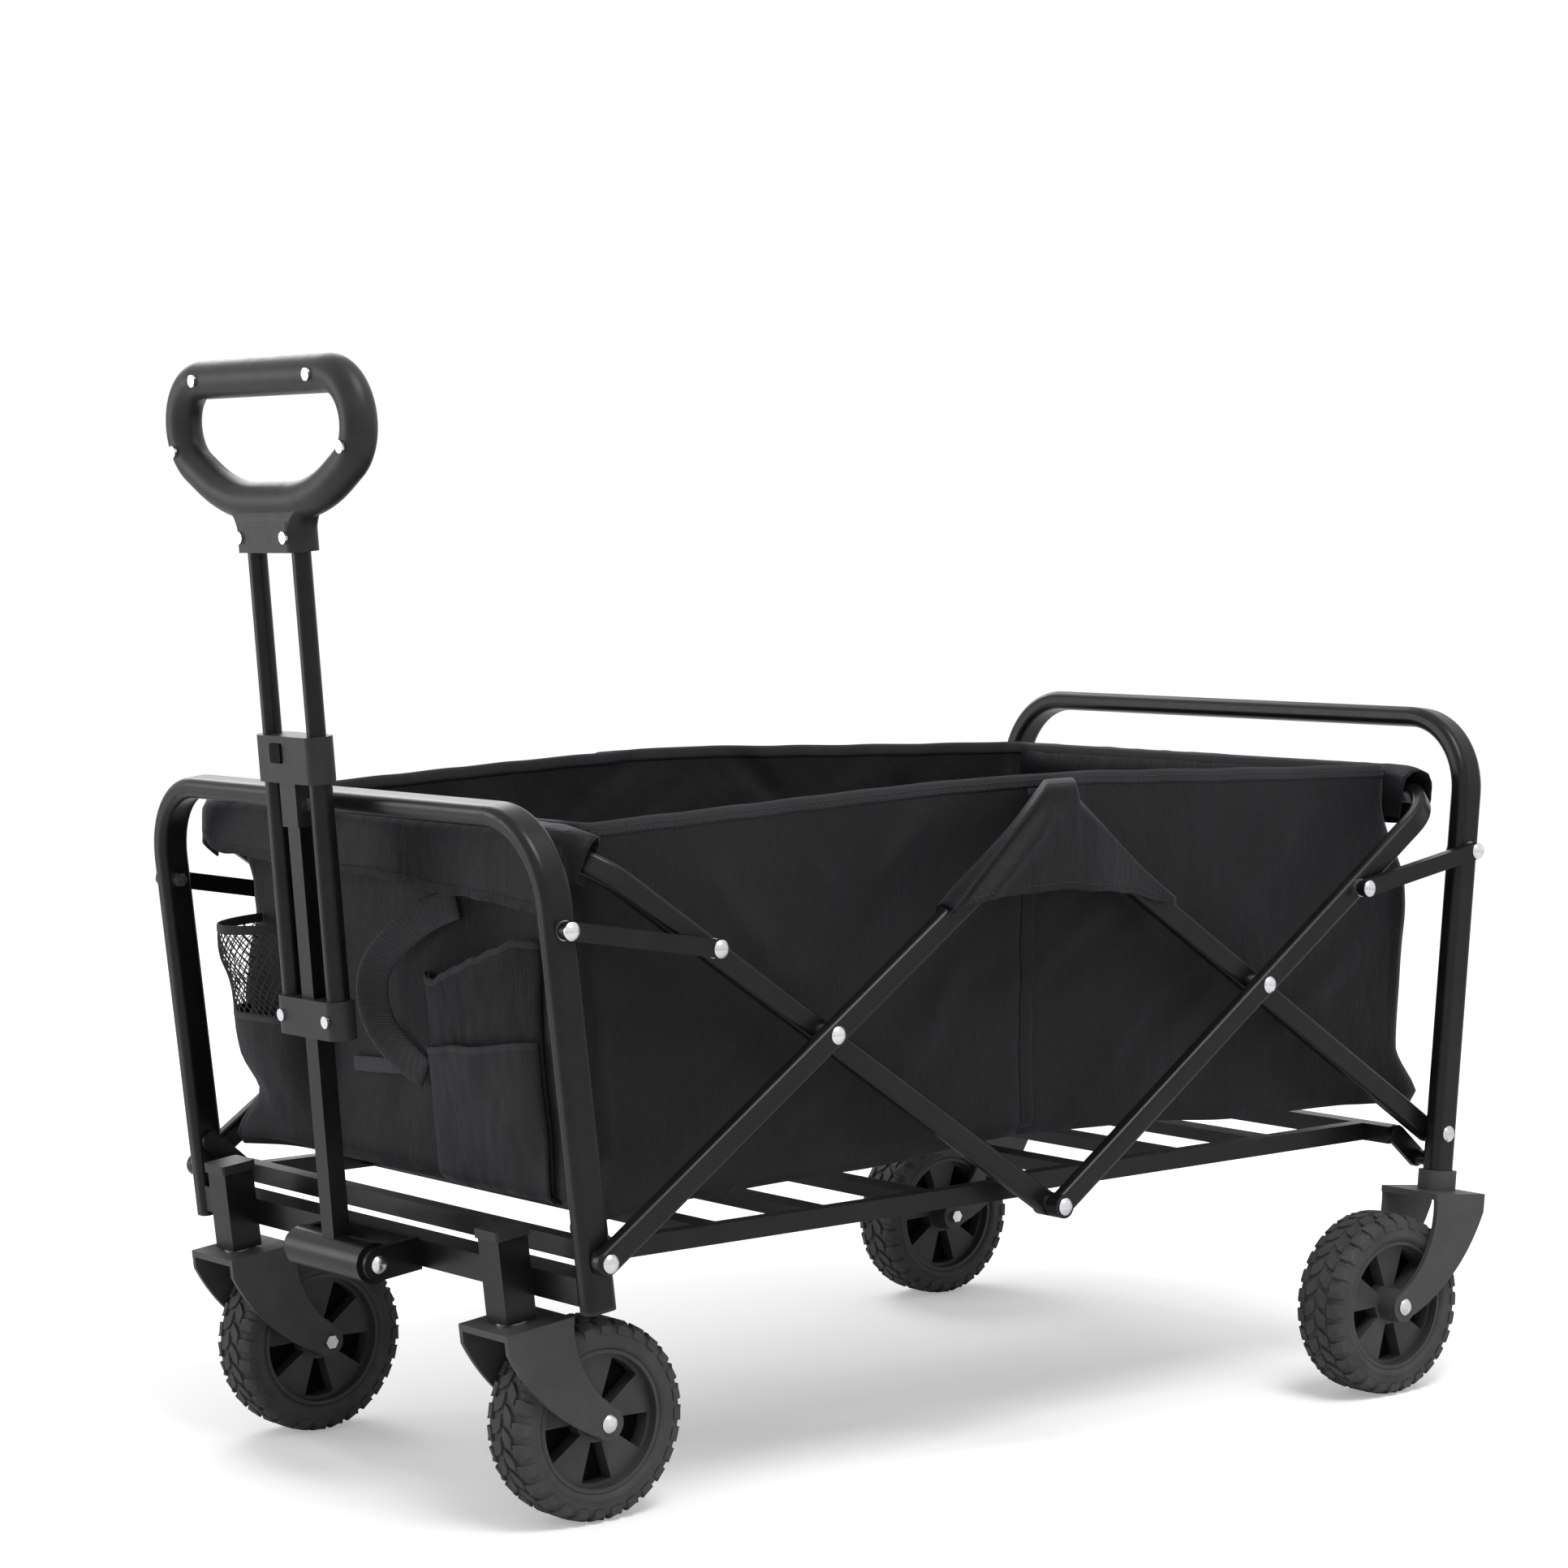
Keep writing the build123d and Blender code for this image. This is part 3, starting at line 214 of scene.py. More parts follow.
slotFinish = {
    "coated_steel": steelFinish, "black_plastic": plasticFinish, "rim_plastic": rimFinish,
    "button_plastic": buttonRecessShadeFinish, "zinc_steel": zincFinish, "tread_rubber": rubberFinish,
    "black_fabric": clothBlack, "webbing": webbingCloth,
}
for row in frame["record"]["subparts"]:
    node = nodes[row["node"]]
    node.data.materials.clear()
    node.data.materials.append(forkFinish if "fork" in row["node"] else slotFinish[row["material_slot"]])
print("finishes set on every node")


# mesh helpers
def makePiece(name, points, faces, finish, smooth=True):
    mesh = bpy.data.meshes.new(name)
    mesh.from_pydata([tuple(p) for p in points], [], faces)
    work = bmesh.new()
    work.from_mesh(mesh)
    bmesh.ops.remove_doubles(work, verts=work.verts, dist=0.00002)
    bmesh.ops.recalc_face_normals(work, faces=work.faces)
    work.to_mesh(mesh)
    work.free()
    mesh.polygons.foreach_set("use_smooth", [smooth] * len(mesh.polygons))
    mesh.materials.append(finish)
    piece = bpy.data.objects.new(name, mesh)
    scene.collection.objects.link(piece)
    return piece


def gridFaces(columns, rows, closed=False):
    faces = []
    for row in range(rows - 1):
        for column in range(columns if closed else columns - 1):
            here = row * columns + column
            beside = row * columns + (column + 1) % columns
            faces.append((here, beside, beside + columns, here + columns))
    return faces


def settle(piece, thick):
    # give a sheet its thickness, half to each side, and keep the result as the mesh
    solid = piece.modifiers.new("thickness", "SOLIDIFY")
    solid.thickness = thick
    solid.offset = 0.0
    return keepModifiers(piece)


def keepModifiers(piece):
    graph = bpy.context.evaluated_depsgraph_get()
    mesh = bpy.data.meshes.new_from_object(piece.evaluated_get(graph))
    old = piece.data
    piece.modifiers.clear()
    piece.data = mesh
    bpy.data.meshes.remove(old)
    return piece


def ease(value):
    value = max(0.0, min(1.0, value))
    return value * value * (3 - 2 * value)


def lerp(low, high, share):
    return low + (high - low) * share


def alongTable(table, value):
    # smooth reading of a list of (position, height) pairs
    if value <= table[0][0]:
        return table[0][1]
    for (p0, h0), (p1, h1) in zip(table, table[1:]):
        if value <= p1:
            return lerp(h0, h1, ease((value - p0) / (p1 - p0)))
    return table[-1][1]


def ripple(x, y, z, seed):
    return noise.noise(Vector((x, y, z + seed * 7.31)))


def bagPiece(piece, slotName, *replaced):
    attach(piece, "bag")
    if replaced:
        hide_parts(*replaced)
    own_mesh(piece)
    return piece


# fabric tub: one lofted shell, walls that hang slack and a floor that sags
tub = {
    "halfX": 0.2295, "halfBase": 0.392, "halfTop": 0.4076, "corner": 0.018, "thick": 0.0016,
    "rows": 44, "sideColumns": 150, "endColumns": 64, "cornerColumns": 5,
    "topLine": ((-0.40, 0.4945), (-0.33, 0.4972), (-0.26, 0.5000), (-0.20, 0.5026), (-0.14, 0.5050),
                (-0.07, 0.5072), (0.0, 0.5085), (0.06, 0.5080), (0.14, 0.5050), (0.22, 0.5020),
                (0.31, 0.4990), (0.40, 0.4965)),
    "lowLine": ((-0.40, 0.2235), (-0.16, 0.2285), (0.0, 0.2375), (0.12, 0.2345), (0.24, 0.2260),
                (0.40, 0.2235)),
    "endTop": 0.4960, "endLow": 0.2240, "bulge": 0.0045, "fold": 0.0070, "crease": 0.0026,
    "folds": {
        1: ((-0.088, 0.492, -0.150, 0.430, 0.0042, 0.011), (-0.205, 0.462, -0.180, 0.436, 0.0026, 0.009),
            (-0.190, 0.386, -0.245, 0.366, 0.0040, 0.012), (-0.262, 0.356, -0.320, 0.308, 0.0042, 0.013),
            (-0.300, 0.462, -0.236, 0.384, 0.0034, 0.012), (0.010, 0.470, 0.002, 0.415, 0.0030, 0.010),
            (0.300, 0.470, 0.210, 0.390, 0.0040, 0.013), (0.130, 0.330, 0.060, 0.262, 0.0036, 0.012),
            (-0.060, 0.380, -0.110, 0.300, 0.0034, 0.013), (0.330, 0.350, 0.250, 0.285, 0.0036, 0.013)),
        -1: ((-0.012, 0.505, -0.046, 0.480, 0.0036, 0.009), (0.085, 0.505, 0.150, 0.450, 0.0042, 0.010),
             (-0.220, 0.480, -0.150, 0.400, 0.0036, 0.012), (0.260, 0.470, 0.330, 0.390, 0.0036, 0.012),
             (-0.300, 0.360, -0.240, 0.290, 0.0034, 0.012), (0.060, 0.360, 0.120, 0.280, 0.0034, 0.012)),
    },
    "slackCorner": ((0.240, 0.0), (0.2513, 0.001), (0.270, 0.011), (0.2975, -0.006), (0.3286, -0.006),
                    (0.365, 0.006), (0.405, 0.019), (0.421, 0.016), (0.454, 0.004), (0.475, 0.0)),
    "pull": (0.013, 0.018, 0.003), "pullReach": 0.035, "pullHeight": 0.16, "rearFlare": 0.026,
    "hip": 0.008, "hipCentre": 0.012, "hipReach": 0.055, "dip": 0.0030, "dipCentre": 0.004, "dipReach": 0.006,
    "endBulge": 0.0030, "endFold": 0.0045, "endCrease": 0.0014, "edgeInset": 0.006, "edgeHeight": 0.035,
    "footRows": (0.0, 0.012, 0.03), "wallStart": 0.06, "floorRings": (1.0, 0.82, 0.6, 0.4, 0.22, 0.1, 0.03),
    "floorHeight": 0.2262, "floorSag": 0.0016, "floorRidge": 0.004, "ridgeReach": 0.012,
}


def tubLoop():
    # one turn round the tub: the kind of wall, its sign and the share along it at each column
    loop = []
    bends = tub["cornerColumns"] + 1
    walls = (("side", 1, (1, 1)), ("end", 1, (-1, 1)), ("side", -1, (-1, -1)), ("end", -1, (1, -1)))
    for kind, sign, corner in walls:
        count = tub[kind + "Columns"]
        start = sign if kind == "end" else -sign
        loop += [(kind, sign, lerp(start, -start, step / (count - 1))) for step in range(count)]
        loop += [("corner", corner, step / bends) for step in range(1, bends)]
    return loop


cornerStart = {(1, 1): 0, (-1, 1): 90, (-1, -1): 180, (1, -1): 270}


def hump(value, centre, reach):
    return math.exp(-((value - centre) / reach) ** 2)


def foldHeight(folds, y, z):
    # raised folds of slack cloth, each along a short line that fades at both ends
    height = 0.0
    for y0, z0, y1, z1, rise, width in folds:
        square = (y1 - y0) ** 2 + (z1 - z0) ** 2
        run = max(0.0, min(1.0, ((y - y0) * (y1 - y0) + (z - z0) * (z1 - z0)) / square))
        away = math.hypot(y - lerp(y0, y1, run), z - lerp(z0, z1, run))
        height += rise * hump(away, 0.0, width) * (0.35 + 0.65 * math.sin(math.pi * run))
    return height


def tubPoint(spot, up, out=0.0):
    # a point of the wall: up runs from 0 at the floor to 1 at the hem, out is the distance off the cloth
    kind, sign, share = spot
    halfX = tub["halfX"]
    halfY = lerp(tub["halfBase"], tub["halfTop"], up)
    flatX, flatY = halfX - tub["corner"], halfY - tub["corner"]
    if kind == "side":
        x, y, across = sign * halfX, share * flatY, (sign, 0.0)
    elif kind == "end":
        x, y, across = share * flatX, sign * halfY, (0.0, sign)
    else:
        turn = math.radians(cornerStart[sign] + 90 * share)
        across = (math.cos(turn), math.sin(turn))
        x = sign[0] * flatX + tub["corner"] * across[0]
        y = sign[1] * flatY + tub["corner"] * across[1]
    sideShare = across[0] ** 2
    top = lerp(tub["endTop"], alongTable(tub["topLine"], y), sideShare)
    low = lerp(tub["endLow"], alongTable(tub["lowLine"], y), sideShare)
    z = lerp(low, top, up)
    slack = math.sin(math.pi * min(1.0, up)) ** 0.8 if up > 0 else 0.0
    if kind == "side":
        calm = 1 - abs(share) ** 6
        push = tub["bulge"] * slack * calm
        push += tub["fold"] * slack * calm * ripple(y * 7.0 + 2.0 * up, up * 1.3, 0.3 * sign, 1)
        push += tub["crease"] * calm * (0.3 + slack) * ripple(y * 24.0 - 7.0 * up, up * 5.0, sign, 2)
        push += tub["hip"] * hump(y, tub["hipCentre"], tub["hipReach"]) * ease((up - 0.70) / 0.30)
        push += foldHeight(tub["folds"][sign], y, z)
        push -= tub["dip"] * hump(y, tub["dipCentre"], tub["dipReach"]) * ease((0.95 - up) / 0.2)
    else:
        free = ease((0.84 - up) / 0.25)
        waves = tub["endFold"] * slack * ripple(x * 9.0 + 3.0 * up, up * 1.6, y, 3)
        push = free * (tub["endBulge"] * slack + waves)
        push += free * tub["endCrease"] * (0.3 + slack) * ripple(x * 30.0 - 6.0 * up, up * 5.0, y, 4)
    off = push + out - tub["edgeInset"] * (1 - ease(up / tub["edgeHeight"]))
    cornerX, cornerY = math.copysign(1, x), math.copysign(1, y)
    away = math.hypot(x - cornerX * halfX, y - cornerY * halfY)
    pull = hump(away, 0.0, tub["pullReach"]) * ease((tub["pullHeight"] - up) / tub["pullHeight"])
    pullX, pullY, pullDown = tub["pull"]
    inward = alongTable(tub["slackCorner"], z) * ease((-x - 0.13) / 0.09) * ease((-y - 0.31) / 0.07)
    x += across[0] * off + cornerX * pullX * pull + inward
    y += across[1] * off + cornerY * pullY * pull
    y += tub["rearFlare"] * ease((0.90 - up) / 0.26) * ease((y - 0.20) / 0.20)
    return Vector((x, y, z - pullDown * pull))


def makeTub():
    loop = tubLoop()
    points = []
    heights = list(tub["footRows"])
    heights += [lerp(tub["wallStart"], 1.0, step / (tub["rows"] - 1)) for step in range(tub["rows"])]
    spine = tub["halfBase"] - tub["halfX"]
    for share in tub["floorRings"]:
        for spot in loop:
            edge = tubPoint(spot, 0.0)
            middle = Vector((0.0, max(-spine, min(spine, edge.y)), edge.z))
            here = edge.lerp(middle, share)
            sag = tub["floorSag"] * ripple(here.x * 14, here.y * 14, 0.0, 5)
            ridge = tub["floorRidge"] * hump(here.y, 0.0, tub["ridgeReach"])
            here.z = lerp(edge.z, tub["floorHeight"], ease(share * 3.0)) + sag + ridge
            points.append(here)
    for up in heights:
        points += [tubPoint(spot, up) for spot in loop]
    rows = len(tub["floorRings"]) + len(heights)
    piece = makePiece("tub_shell", points, gridFaces(len(loop), rows, True), clothBlack)
    return settle(piece, tub["thick"])


tubShell = makeTub()
bagPiece(tubShell, "black_fabric", "bag_shell", "end_hems")
print("tub shell made,", len(tubShell.data.vertices), "points")


# folded hem round the mouth of the tub, with two rows of stitches
hem = {
    "low": 0.970, "thick": 0.0013, "stitch": 0.0048, "stitchWidth": 0.0007, "rows": (0.976, 0.990),
    "section": ((0.970, 1.0), (0.98, 1.1), (1.0, 0.9), (1.008, 0.0), (1.0, -0.9), (0.98, -1.1),
                (0.970, -1.0)),
}


def makeHem():
    loop = tubLoop()
    points = []
    for up, out in hem["section"]:
        points += [tubPoint(spot, up, hem["thick"] * out) for spot in loop]
    faces = gridFaces(len(loop), len(hem["section"]), True)
    last = (len(hem["section"]) - 1) * len(loop)
    for column in range(len(loop)):
        beside = (column + 1) % len(loop)
        faces.append((column, last + column, last + beside, beside))
    return makePiece("tub_hem", points, faces, bindingCloth)


def stitchRow(name, path, outward, finish, pitch=0.0050, width=0.0007, height=0.0006, part=0.62):
    # short raised threads along a path, each a small tapered bar
    spans = [(b - a).length for a, b in zip(path, path[1:])]
    total = sum(spans)
    marks = np.concatenate(([0.0], np.cumsum(spans)))

    def at(distance):
        index = min(len(spans) - 1, max(0, int(np.searchsorted(marks, distance)) - 1))
        share = (distance - marks[index]) / max(spans[index], 1e-9)
        return path[index].lerp(path[index + 1], share), outward[index]

    points, faces = [], []
    for step in range(int(total / pitch)):
        start, up = at(step * pitch)
        end, _ = at(step * pitch + pitch * part)
        run = (end - start).normalized()
        across = run.cross(up).normalized() * width / 2
        base = len(points)
        lift = up * height
        ends = ((start, 0.0), (start + run * width, 1.0), (end - run * width, 1.0), (end, 0.0))
        for spot, raised in ends:
            points += [spot - across, spot - across * 0.4 + lift * raised + lift * 0.1,
                       spot + across * 0.4 + lift * raised + lift * 0.1, spot + across]
        for ring in range(3):
            for side in range(4):
                beside = (side + 1) % 4
                faces.append((base + ring * 4 + side, base + ring * 4 + beside,
                              base + ring * 4 + 4 + beside, base + ring * 4 + 4 + side))
        faces.append((base, base + 1, base + 2, base + 3))
        faces.append((base + 15, base + 14, base + 13, base + 12))
    return makePiece(name, points, faces, finish, False)


def wallStitches(name, up, out):
    loop = tubLoop()
    path = [tubPoint(spot, up, out) for spot in loop]
    path.append(path[0].copy())
    outward = []
    for spot in loop:
        outward.append((tubPoint(spot, up, out + 0.01) - tubPoint(spot, up, out)).normalized())
    outward.append(outward[0])
    return stitchRow(name, path, outward, threadFinish, hem["stitch"], hem["stitchWidth"])


tubHem = makeHem()
bagPiece(tubHem, "black_fabric")
for index, up in enumerate(hem["rows"]):
    bagPiece(wallStitches("hem_stitches_" + str(index + 1), up, hem["thick"]), "webbing")
print("hem made")

# upright felled seams in the middle of both sides
seam = {
    "width": 0.010, "thick": 0.0007, "edge": 0.0004, "centre": 0.006, "stitchShift": 0.003, "foot": 0.02,
    "steps": 40,
}


def makeSeam(sign):
    flat = tub["halfBase"] - tub["corner"]
    edge, thick = seam["edge"], seam["thick"]
    points, path, outward = [], [], []
    for step in range(seam["steps"]):
        up = lerp(seam["foot"], hem["low"], step / (seam["steps"] - 1))
        for shift, out in ((-0.5, edge), (-0.42, thick), (0.42, thick), (0.5, edge)):
            y = seam["centre"] + shift * seam["width"]
            points.append(tubPoint(("side", sign, y / flat), up, out + tub["thick"] / 2))
        threadSpot = ("side", sign, (seam["centre"] + seam["stitchShift"]) / flat)
        path.append(tubPoint(threadSpot, up, thick + tub["thick"] / 2))
        outward.append(Vector((sign, 0.0, 0.0)))
    word = "right" if sign > 0 else "left"
    strip = makePiece("side_seam_" + word, points, gridFaces(4, seam["steps"]), clothBlack)
    bagPiece(settle(strip, thick), "black_fabric")
    bagPiece(stitchRow("side_seam_stitches_" + word, path, outward, threadFinish), "webbing")


for sign in (-1, 1):
    makeSeam(sign)
print("seams made")


# sleeves over the hoop tubes at both ends of the tub, with a loose lower edge; they move with the hoops
sleeve = {
    "tubeY": 0.4175, "tubeZ": 0.4757, "tilt": math.radians(34.4), "bendRadius": 0.040, "columns": 110,
    "thick": 0.0014, "hangFrom": 6, "lip": 0.011, "endTail": -0.013, "endTurn": 0.45, "tailWave": 0.0016,
    "wave": 0.0022, "pucker": 0.0009, "hemRise": 0.006, "threadOut": 0.0009, "threadSkip": 7,
    "section": ((-0.0122, -0.020), (-0.0128, 0.004), (-0.0118, 0.0135), (-0.0060, 0.0195), (0.0010, 0.0208),
                (0.0078, 0.0180), (0.0116, 0.0110), (0.0122, 0.002), (0.0124, -0.007), (0.0126, -0.014),
                (0.0128, -0.020), (0.0130, -0.025)),
}


def makeSleeve(name, sign, straight, bends, tails):
    # the path runs along the cross tube and some way round both bends of the hoop
    points, low = [], []
    columns = len(sleeve["section"])
    cosine, sine = math.cos(sleeve["tilt"]), math.sin(sleeve["tilt"])
    normal = Vector((0.0, -sign * sine, cosine))
    left, right = (straight + sleeve["bendRadius"] * bend for bend in bends)
    for step in range(sleeve["columns"]):
        share = step / (sleeve["columns"] - 1)
        run = lerp(-left, right, share)
        hand = math.copysign(1, run)
        turn = max(0.0, abs(run) - straight) / sleeve["bendRadius"]
        inward = sleeve["bendRadius"] * (1 - math.cos(turn))
        centre = Vector((hand * (min(abs(run), straight) + sleeve["bendRadius"] * math.sin(turn)),
                         sign * (sleeve["tubeY"] - inward * cosine), sleeve["tubeZ"] - inward * sine))
        outer = Vector((hand * math.sin(turn), sign * cosine * math.cos(turn), sine * math.cos(turn)))
        tail = alongTable(tails, share) + sleeve["tailWave"] * ripple(run * 42, 0.0, 0.0, 6 + sign)
        tail = lerp(tail - sleeve["tubeZ"], sleeve["endTail"], ease(turn / sleeve["endTurn"]))
        for index, (outY, upZ) in enumerate(sleeve["section"]):
            hung = (index - sleeve["hangFrom"]) / (columns - 1 - sleeve["hangFrom"])
            wave = sleeve["wave"] * ease(hung) * ripple(run * 30, index * 0.2, 0.0, 8 + sign)
            pucker = sleeve["pucker"] * ripple(run * 55, index * 0.7, 0.0, 9 + sign)
            up = upZ + pucker
            if hung > 0:
                up = lerp(sleeve["lip"], tail, hung)
            out = outY + max(wave, -0.0004) + abs(pucker) * (1 if hung >= 0 else 0)
            points.append(centre + outer * (out * cosine + up * sine) + normal * (up * cosine - out * sine))
        low.append(points[-1].copy())
    piece = makePiece(name, points, gridFaces(columns, sleeve["columns"]), clothBlack)
    settle(piece, sleeve["thick"])
    lift = Vector((0, sign * sleeve["threadOut"], sleeve["hemRise"]))
    path = [p + lift for p in low[sleeve["threadSkip"]:-sleeve["threadSkip"]]]
    stitches = stitchRow(name + "_stitches", path, [Vector((0, sign, 0))] * len(path), threadFinish)
    return piece, stitches


frontTails = ((0.0, 0.453), (0.5, 0.4475), (0.8, 0.440), (1.0, 0.433))
rearTails = ((0.0, 0.450), (0.5, 0.446), (1.0, 0.448))
frontSleeve, frontSleeveStitches = makeSleeve("front_sleeve", sign=-1, straight=0.218, bends=(1.35, 0.75),
                                              tails=frontTails)
rearSleeve, rearSleeveStitches = makeSleeve("rear_sleeve", sign=1, straight=0.233, bends=(0.45, 0.45),
                                            tails=rearTails)
for piece, body, slotName in ((frontSleeve, "front_hoop_frame", "black_fabric"),
                              (frontSleeveStitches, "front_hoop_frame", "webbing"),
                              (rearSleeve, "rear_hoop_frame", "black_fabric"),
                              (rearSleeveStitches, "rear_hoop_frame", "webbing")):
    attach(piece, body)
print("sleeves made")


# flaps over the top pivots: cloth from the hem, over the arm ends and down outside as a wide triangle
flap = {
    "rows": 28, "apex": 0.5065, "frontEdge": -0.022, "rearEdge": 0.0065, "step": 0.004, "frontSlope": 0.917,
    "rearTop": 0.4995, "rearSlope": 0.685, "skew": 0.8, "thick": 0.0014, "inner": 0.2405,
    "frontInner": 0.2580, "outer": 0.2872, "rearOuter": 0.2705, "shoulder": 0.0040, "edgeWave": 0.0014,
    "swing": 0.0024,
    "flutter": 0.0012, "roll": (0.0050, 0.024, 0.009), "groove": (0.0025, 0.009, 0.006), "hemRise": 0.005,
    "threadOut": 0.0008, "threadSkip": 6,
    "columns": (*np.linspace(-0.114, -0.0225, 34), *np.linspace(-0.0195, 0.0065, 11), 0.0085, 0.0105,
                *np.linspace(0.0135, 0.124, 38)),
    "edge": ((-0.115, 0.4195), (-0.108, 0.4215), (-0.070, 0.4270), (-0.0125, 0.4280), (0.033, 0.4240),
             (0.068, 0.4190), (0.112, 0.4100), (0.124, 0.4065)),
}


def flapRidge(y):
    if y < flap["frontEdge"]:
        return flap["apex"] - flap["frontSlope"] * (flap["frontEdge"] - y)
    low = flap["rearTop"] - flap["rearSlope"] * y
    return lerp(flap["apex"], low, ease((y - flap["rearEdge"]) / flap["step"]))


def makeFlap(sign):
    points, low = [], []
    for y in flap["columns"]:
        ridge = flapRidge(y)
        edge = min(alongTable(flap["edge"], y), ridge - flap["shoulder"])
        outer = lerp(flap["outer"], flap["rearOuter"], ease((y - 0.012) / 0.10))
        inner = lerp(flap["inner"], flap["frontInner"], ease(-y / 0.10))
        over = ((inner, ridge - 0.020), (inner + 0.0010, ridge - 0.008), (inner + 0.004, ridge - 0.002),
                (lerp(inner, outer, 0.35), ridge + 0.0006), (lerp(inner, outer, 0.65), ridge + 0.0006),
                (outer - 0.0040, ridge - 0.0006), (outer - 0.0012, ridge - 0.0026),
                (outer - 0.0003, ridge - flap["shoulder"]))
        skew = flap["skew"] * (1 - 0.7 * ease((-y - 0.05) / 0.06)) * (1 - ease((y - flap["rearEdge"]) / 0.05))
        for x, z in over:
            wrinkle = 0.0006 * ripple(y * 40, z * 40, 0, 11)
            points.append(Vector((sign * (x + wrinkle), y + skew * (outer - x), z)))
        hang = flap["rows"] - len(over)
        front = ease((-y - 0.004) / 0.03)
        for row in range(hang):
            share = (row + 1) / hang
            z = lerp(ridge - flap["shoulder"], edge + flap["edgeWave"] * ripple(y * 26, 0, 0, 12), share)
            loose = ease((ridge - z) / 0.05)
            swing = flap["swing"] * loose * (0.5 + 0.5 * ripple(y * 15 + 6 * share, share, 0, 13))
            swing += flap["flutter"] * loose * (0.5 + 0.5 * ripple(y * 45, share * 3, 0, 14))
            swing += flap["roll"][0] * front * hump(ridge - z, *flap["roll"][1:])
            swing -= flap["groove"][0] * front * hump(ridge - z, *flap["groove"][1:])
            points.append(Vector((sign * (outer + swing), y, z)))
        low.append(points[-1].copy())
    word = "right" if sign > 0 else "left"
    piece = makePiece("side_flap_" + word, points, gridFaces(flap["rows"], len(flap["columns"])), clothBlack)
    settle(piece, flap["thick"])
    lift = Vector((sign * flap["threadOut"], 0, flap["hemRise"]))
    path = [p + lift for p in low[flap["threadSkip"]:-flap["threadSkip"]]]
    stitches = stitchRow("flap_stitches_" + word, path, [Vector((sign, 0, 0))] * len(path), threadFinish)
    bagPiece(stitches, "webbing")
    return piece


flapRight = makeFlap(1)
flapLeft = makeFlap(-1)
bagPiece(flapRight, "black_fabric", "side_flaps")
bagPiece(flapLeft, "black_fabric")
print("flaps made")


# front panel: places on it are given by x, height and distance in front of the cloth
def panelPoint(x, z, out):
    up = (z - tub["endLow"]) / (tub["endTop"] - tub["endLow"])
    spot = ("end", -1, max(-1.0, min(1.0, x / (tub["halfX"] - tub["corner"]))))
    return tubPoint(spot, up, out + tub["thick"] / 2)


def tapeAlong(name, path, across, finish, width, thick, roundness=3):
    # a folded tape: a flat oval bar swept along a path, across gives its broad direction at each point
    points = []
    ring = 10
    for index, spot in enumerate(path):
        ahead = path[min(index + 1, len(path) - 1)] - path[max(index - 1, 0)]
        ahead.normalize()
        broad = across[index] - ahead * across[index].dot(ahead)
        broad.normalize()
        flat = ahead.cross(broad)
        for step in range(ring):
            turn = 2 * math.pi * step / ring
            cosine, sine = math.cos(turn), math.sin(turn)
            wide = math.copysign(abs(cosine) ** (2 / roundness), cosine)
            high = math.copysign(abs(sine) ** (2 / roundness), sine)
            points.append(spot + broad * wide * width / 2 + flat * high * thick / 2)
    faces = gridFaces(ring, len(path), True)
    faces.append(tuple(range(ring)))
    faces.append(tuple(len(points) - ring + step for step in reversed(range(ring))))
    return makePiece(name, points, faces, finish)


# cup pocket: cloth below, open net above, a bound rim that stands away from the panel
cup = {
    "centre": -0.160, "half": 0.052, "rimHalf": 0.046, "low": 0.2300, "net": 0.3300, "rim": 0.4010,
    "depths": ((0.0, 0.010), (0.55, 0.031), (1.0, 0.055)), "gap": 0.0012, "wrinkle": 0.0022, "tilt": -0.003,
    "rows": 16, "columns": 36, "thick": 0.0013, "netRows": 19, "netColumns": 41, "netOverlap": 0.003,
    "netThick": 0.0011, "tapeSteps": 40, "rimTape": (0.0070, 0.0022), "bandTape": (0.0060, 0.0020),
}


def cupPoint(share, z):
    rise = (z - cup["low"]) / (cup["rim"] - cup["low"])
    depth = alongTable(cup["depths"], rise)
    half = lerp(cup["half"], cup["rimHalf"], rise)
    turn = math.pi * share
    x = cup["centre"] - half * math.cos(turn)
    out = cup["gap"] + depth * math.sin(turn) ** 0.85
    out += cup["wrinkle"] * math.sin(turn) * ripple(share * 6, rise * 5, 0, 15)
    tilt = cup["tilt"] * math.sin(turn) * rise
    return panelPoint(x, z + tilt, out)


def cupGrid(columns, rows, low, high):
    points = []
    for row in range(rows):
        z = lerp(low, high, row / (rows - 1))
        points += [cupPoint(step / (columns - 1), z) for step in range(columns)]
    return points


def cupTape(name, z, tape):
    path = [cupPoint(step / cup["tapeSteps"], z) for step in range(cup["tapeSteps"] + 1)]
    return tapeAlong(name, path, [Vector((0, 0, 1))] * len(path), bindingCloth, *tape)


def makeCup():
    points = cupGrid(cup["columns"], cup["rows"], cup["low"], cup["net"])
    cloth = makePiece("cup_pocket_cloth", points, gridFaces(cup["columns"], cup["rows"]), clothBlack)
    settle(cloth, cup["thick"])
    rows, columns = cup["netRows"], cup["netColumns"]
    points, faces = cupGrid(columns, rows, cup["net"] - cup["netOverlap"], cup["rim"]), []
    for row in range(1, rows - 1):
        for column in range(1, columns - 1):
            if (row + column) % 2:
                here = row * columns + column
                faces.append((here - 1, here - columns, here + 1, here + columns))
    net = makePiece("cup_pocket_net", points, faces, threadFinish, False)
    keepUsed(net)
    wire = net.modifiers.new("threads", "WIREFRAME")
    wire.thickness = cup["netThick"]
    wire.use_boundary = True
    keepModifiers(net)
    rim = cupTape("cup_pocket_rim", cup["rim"], cup["rimTape"])
    band = cupTape("cup_pocket_band", cup["net"], cup["bandTape"])
    return cloth, net, rim, band


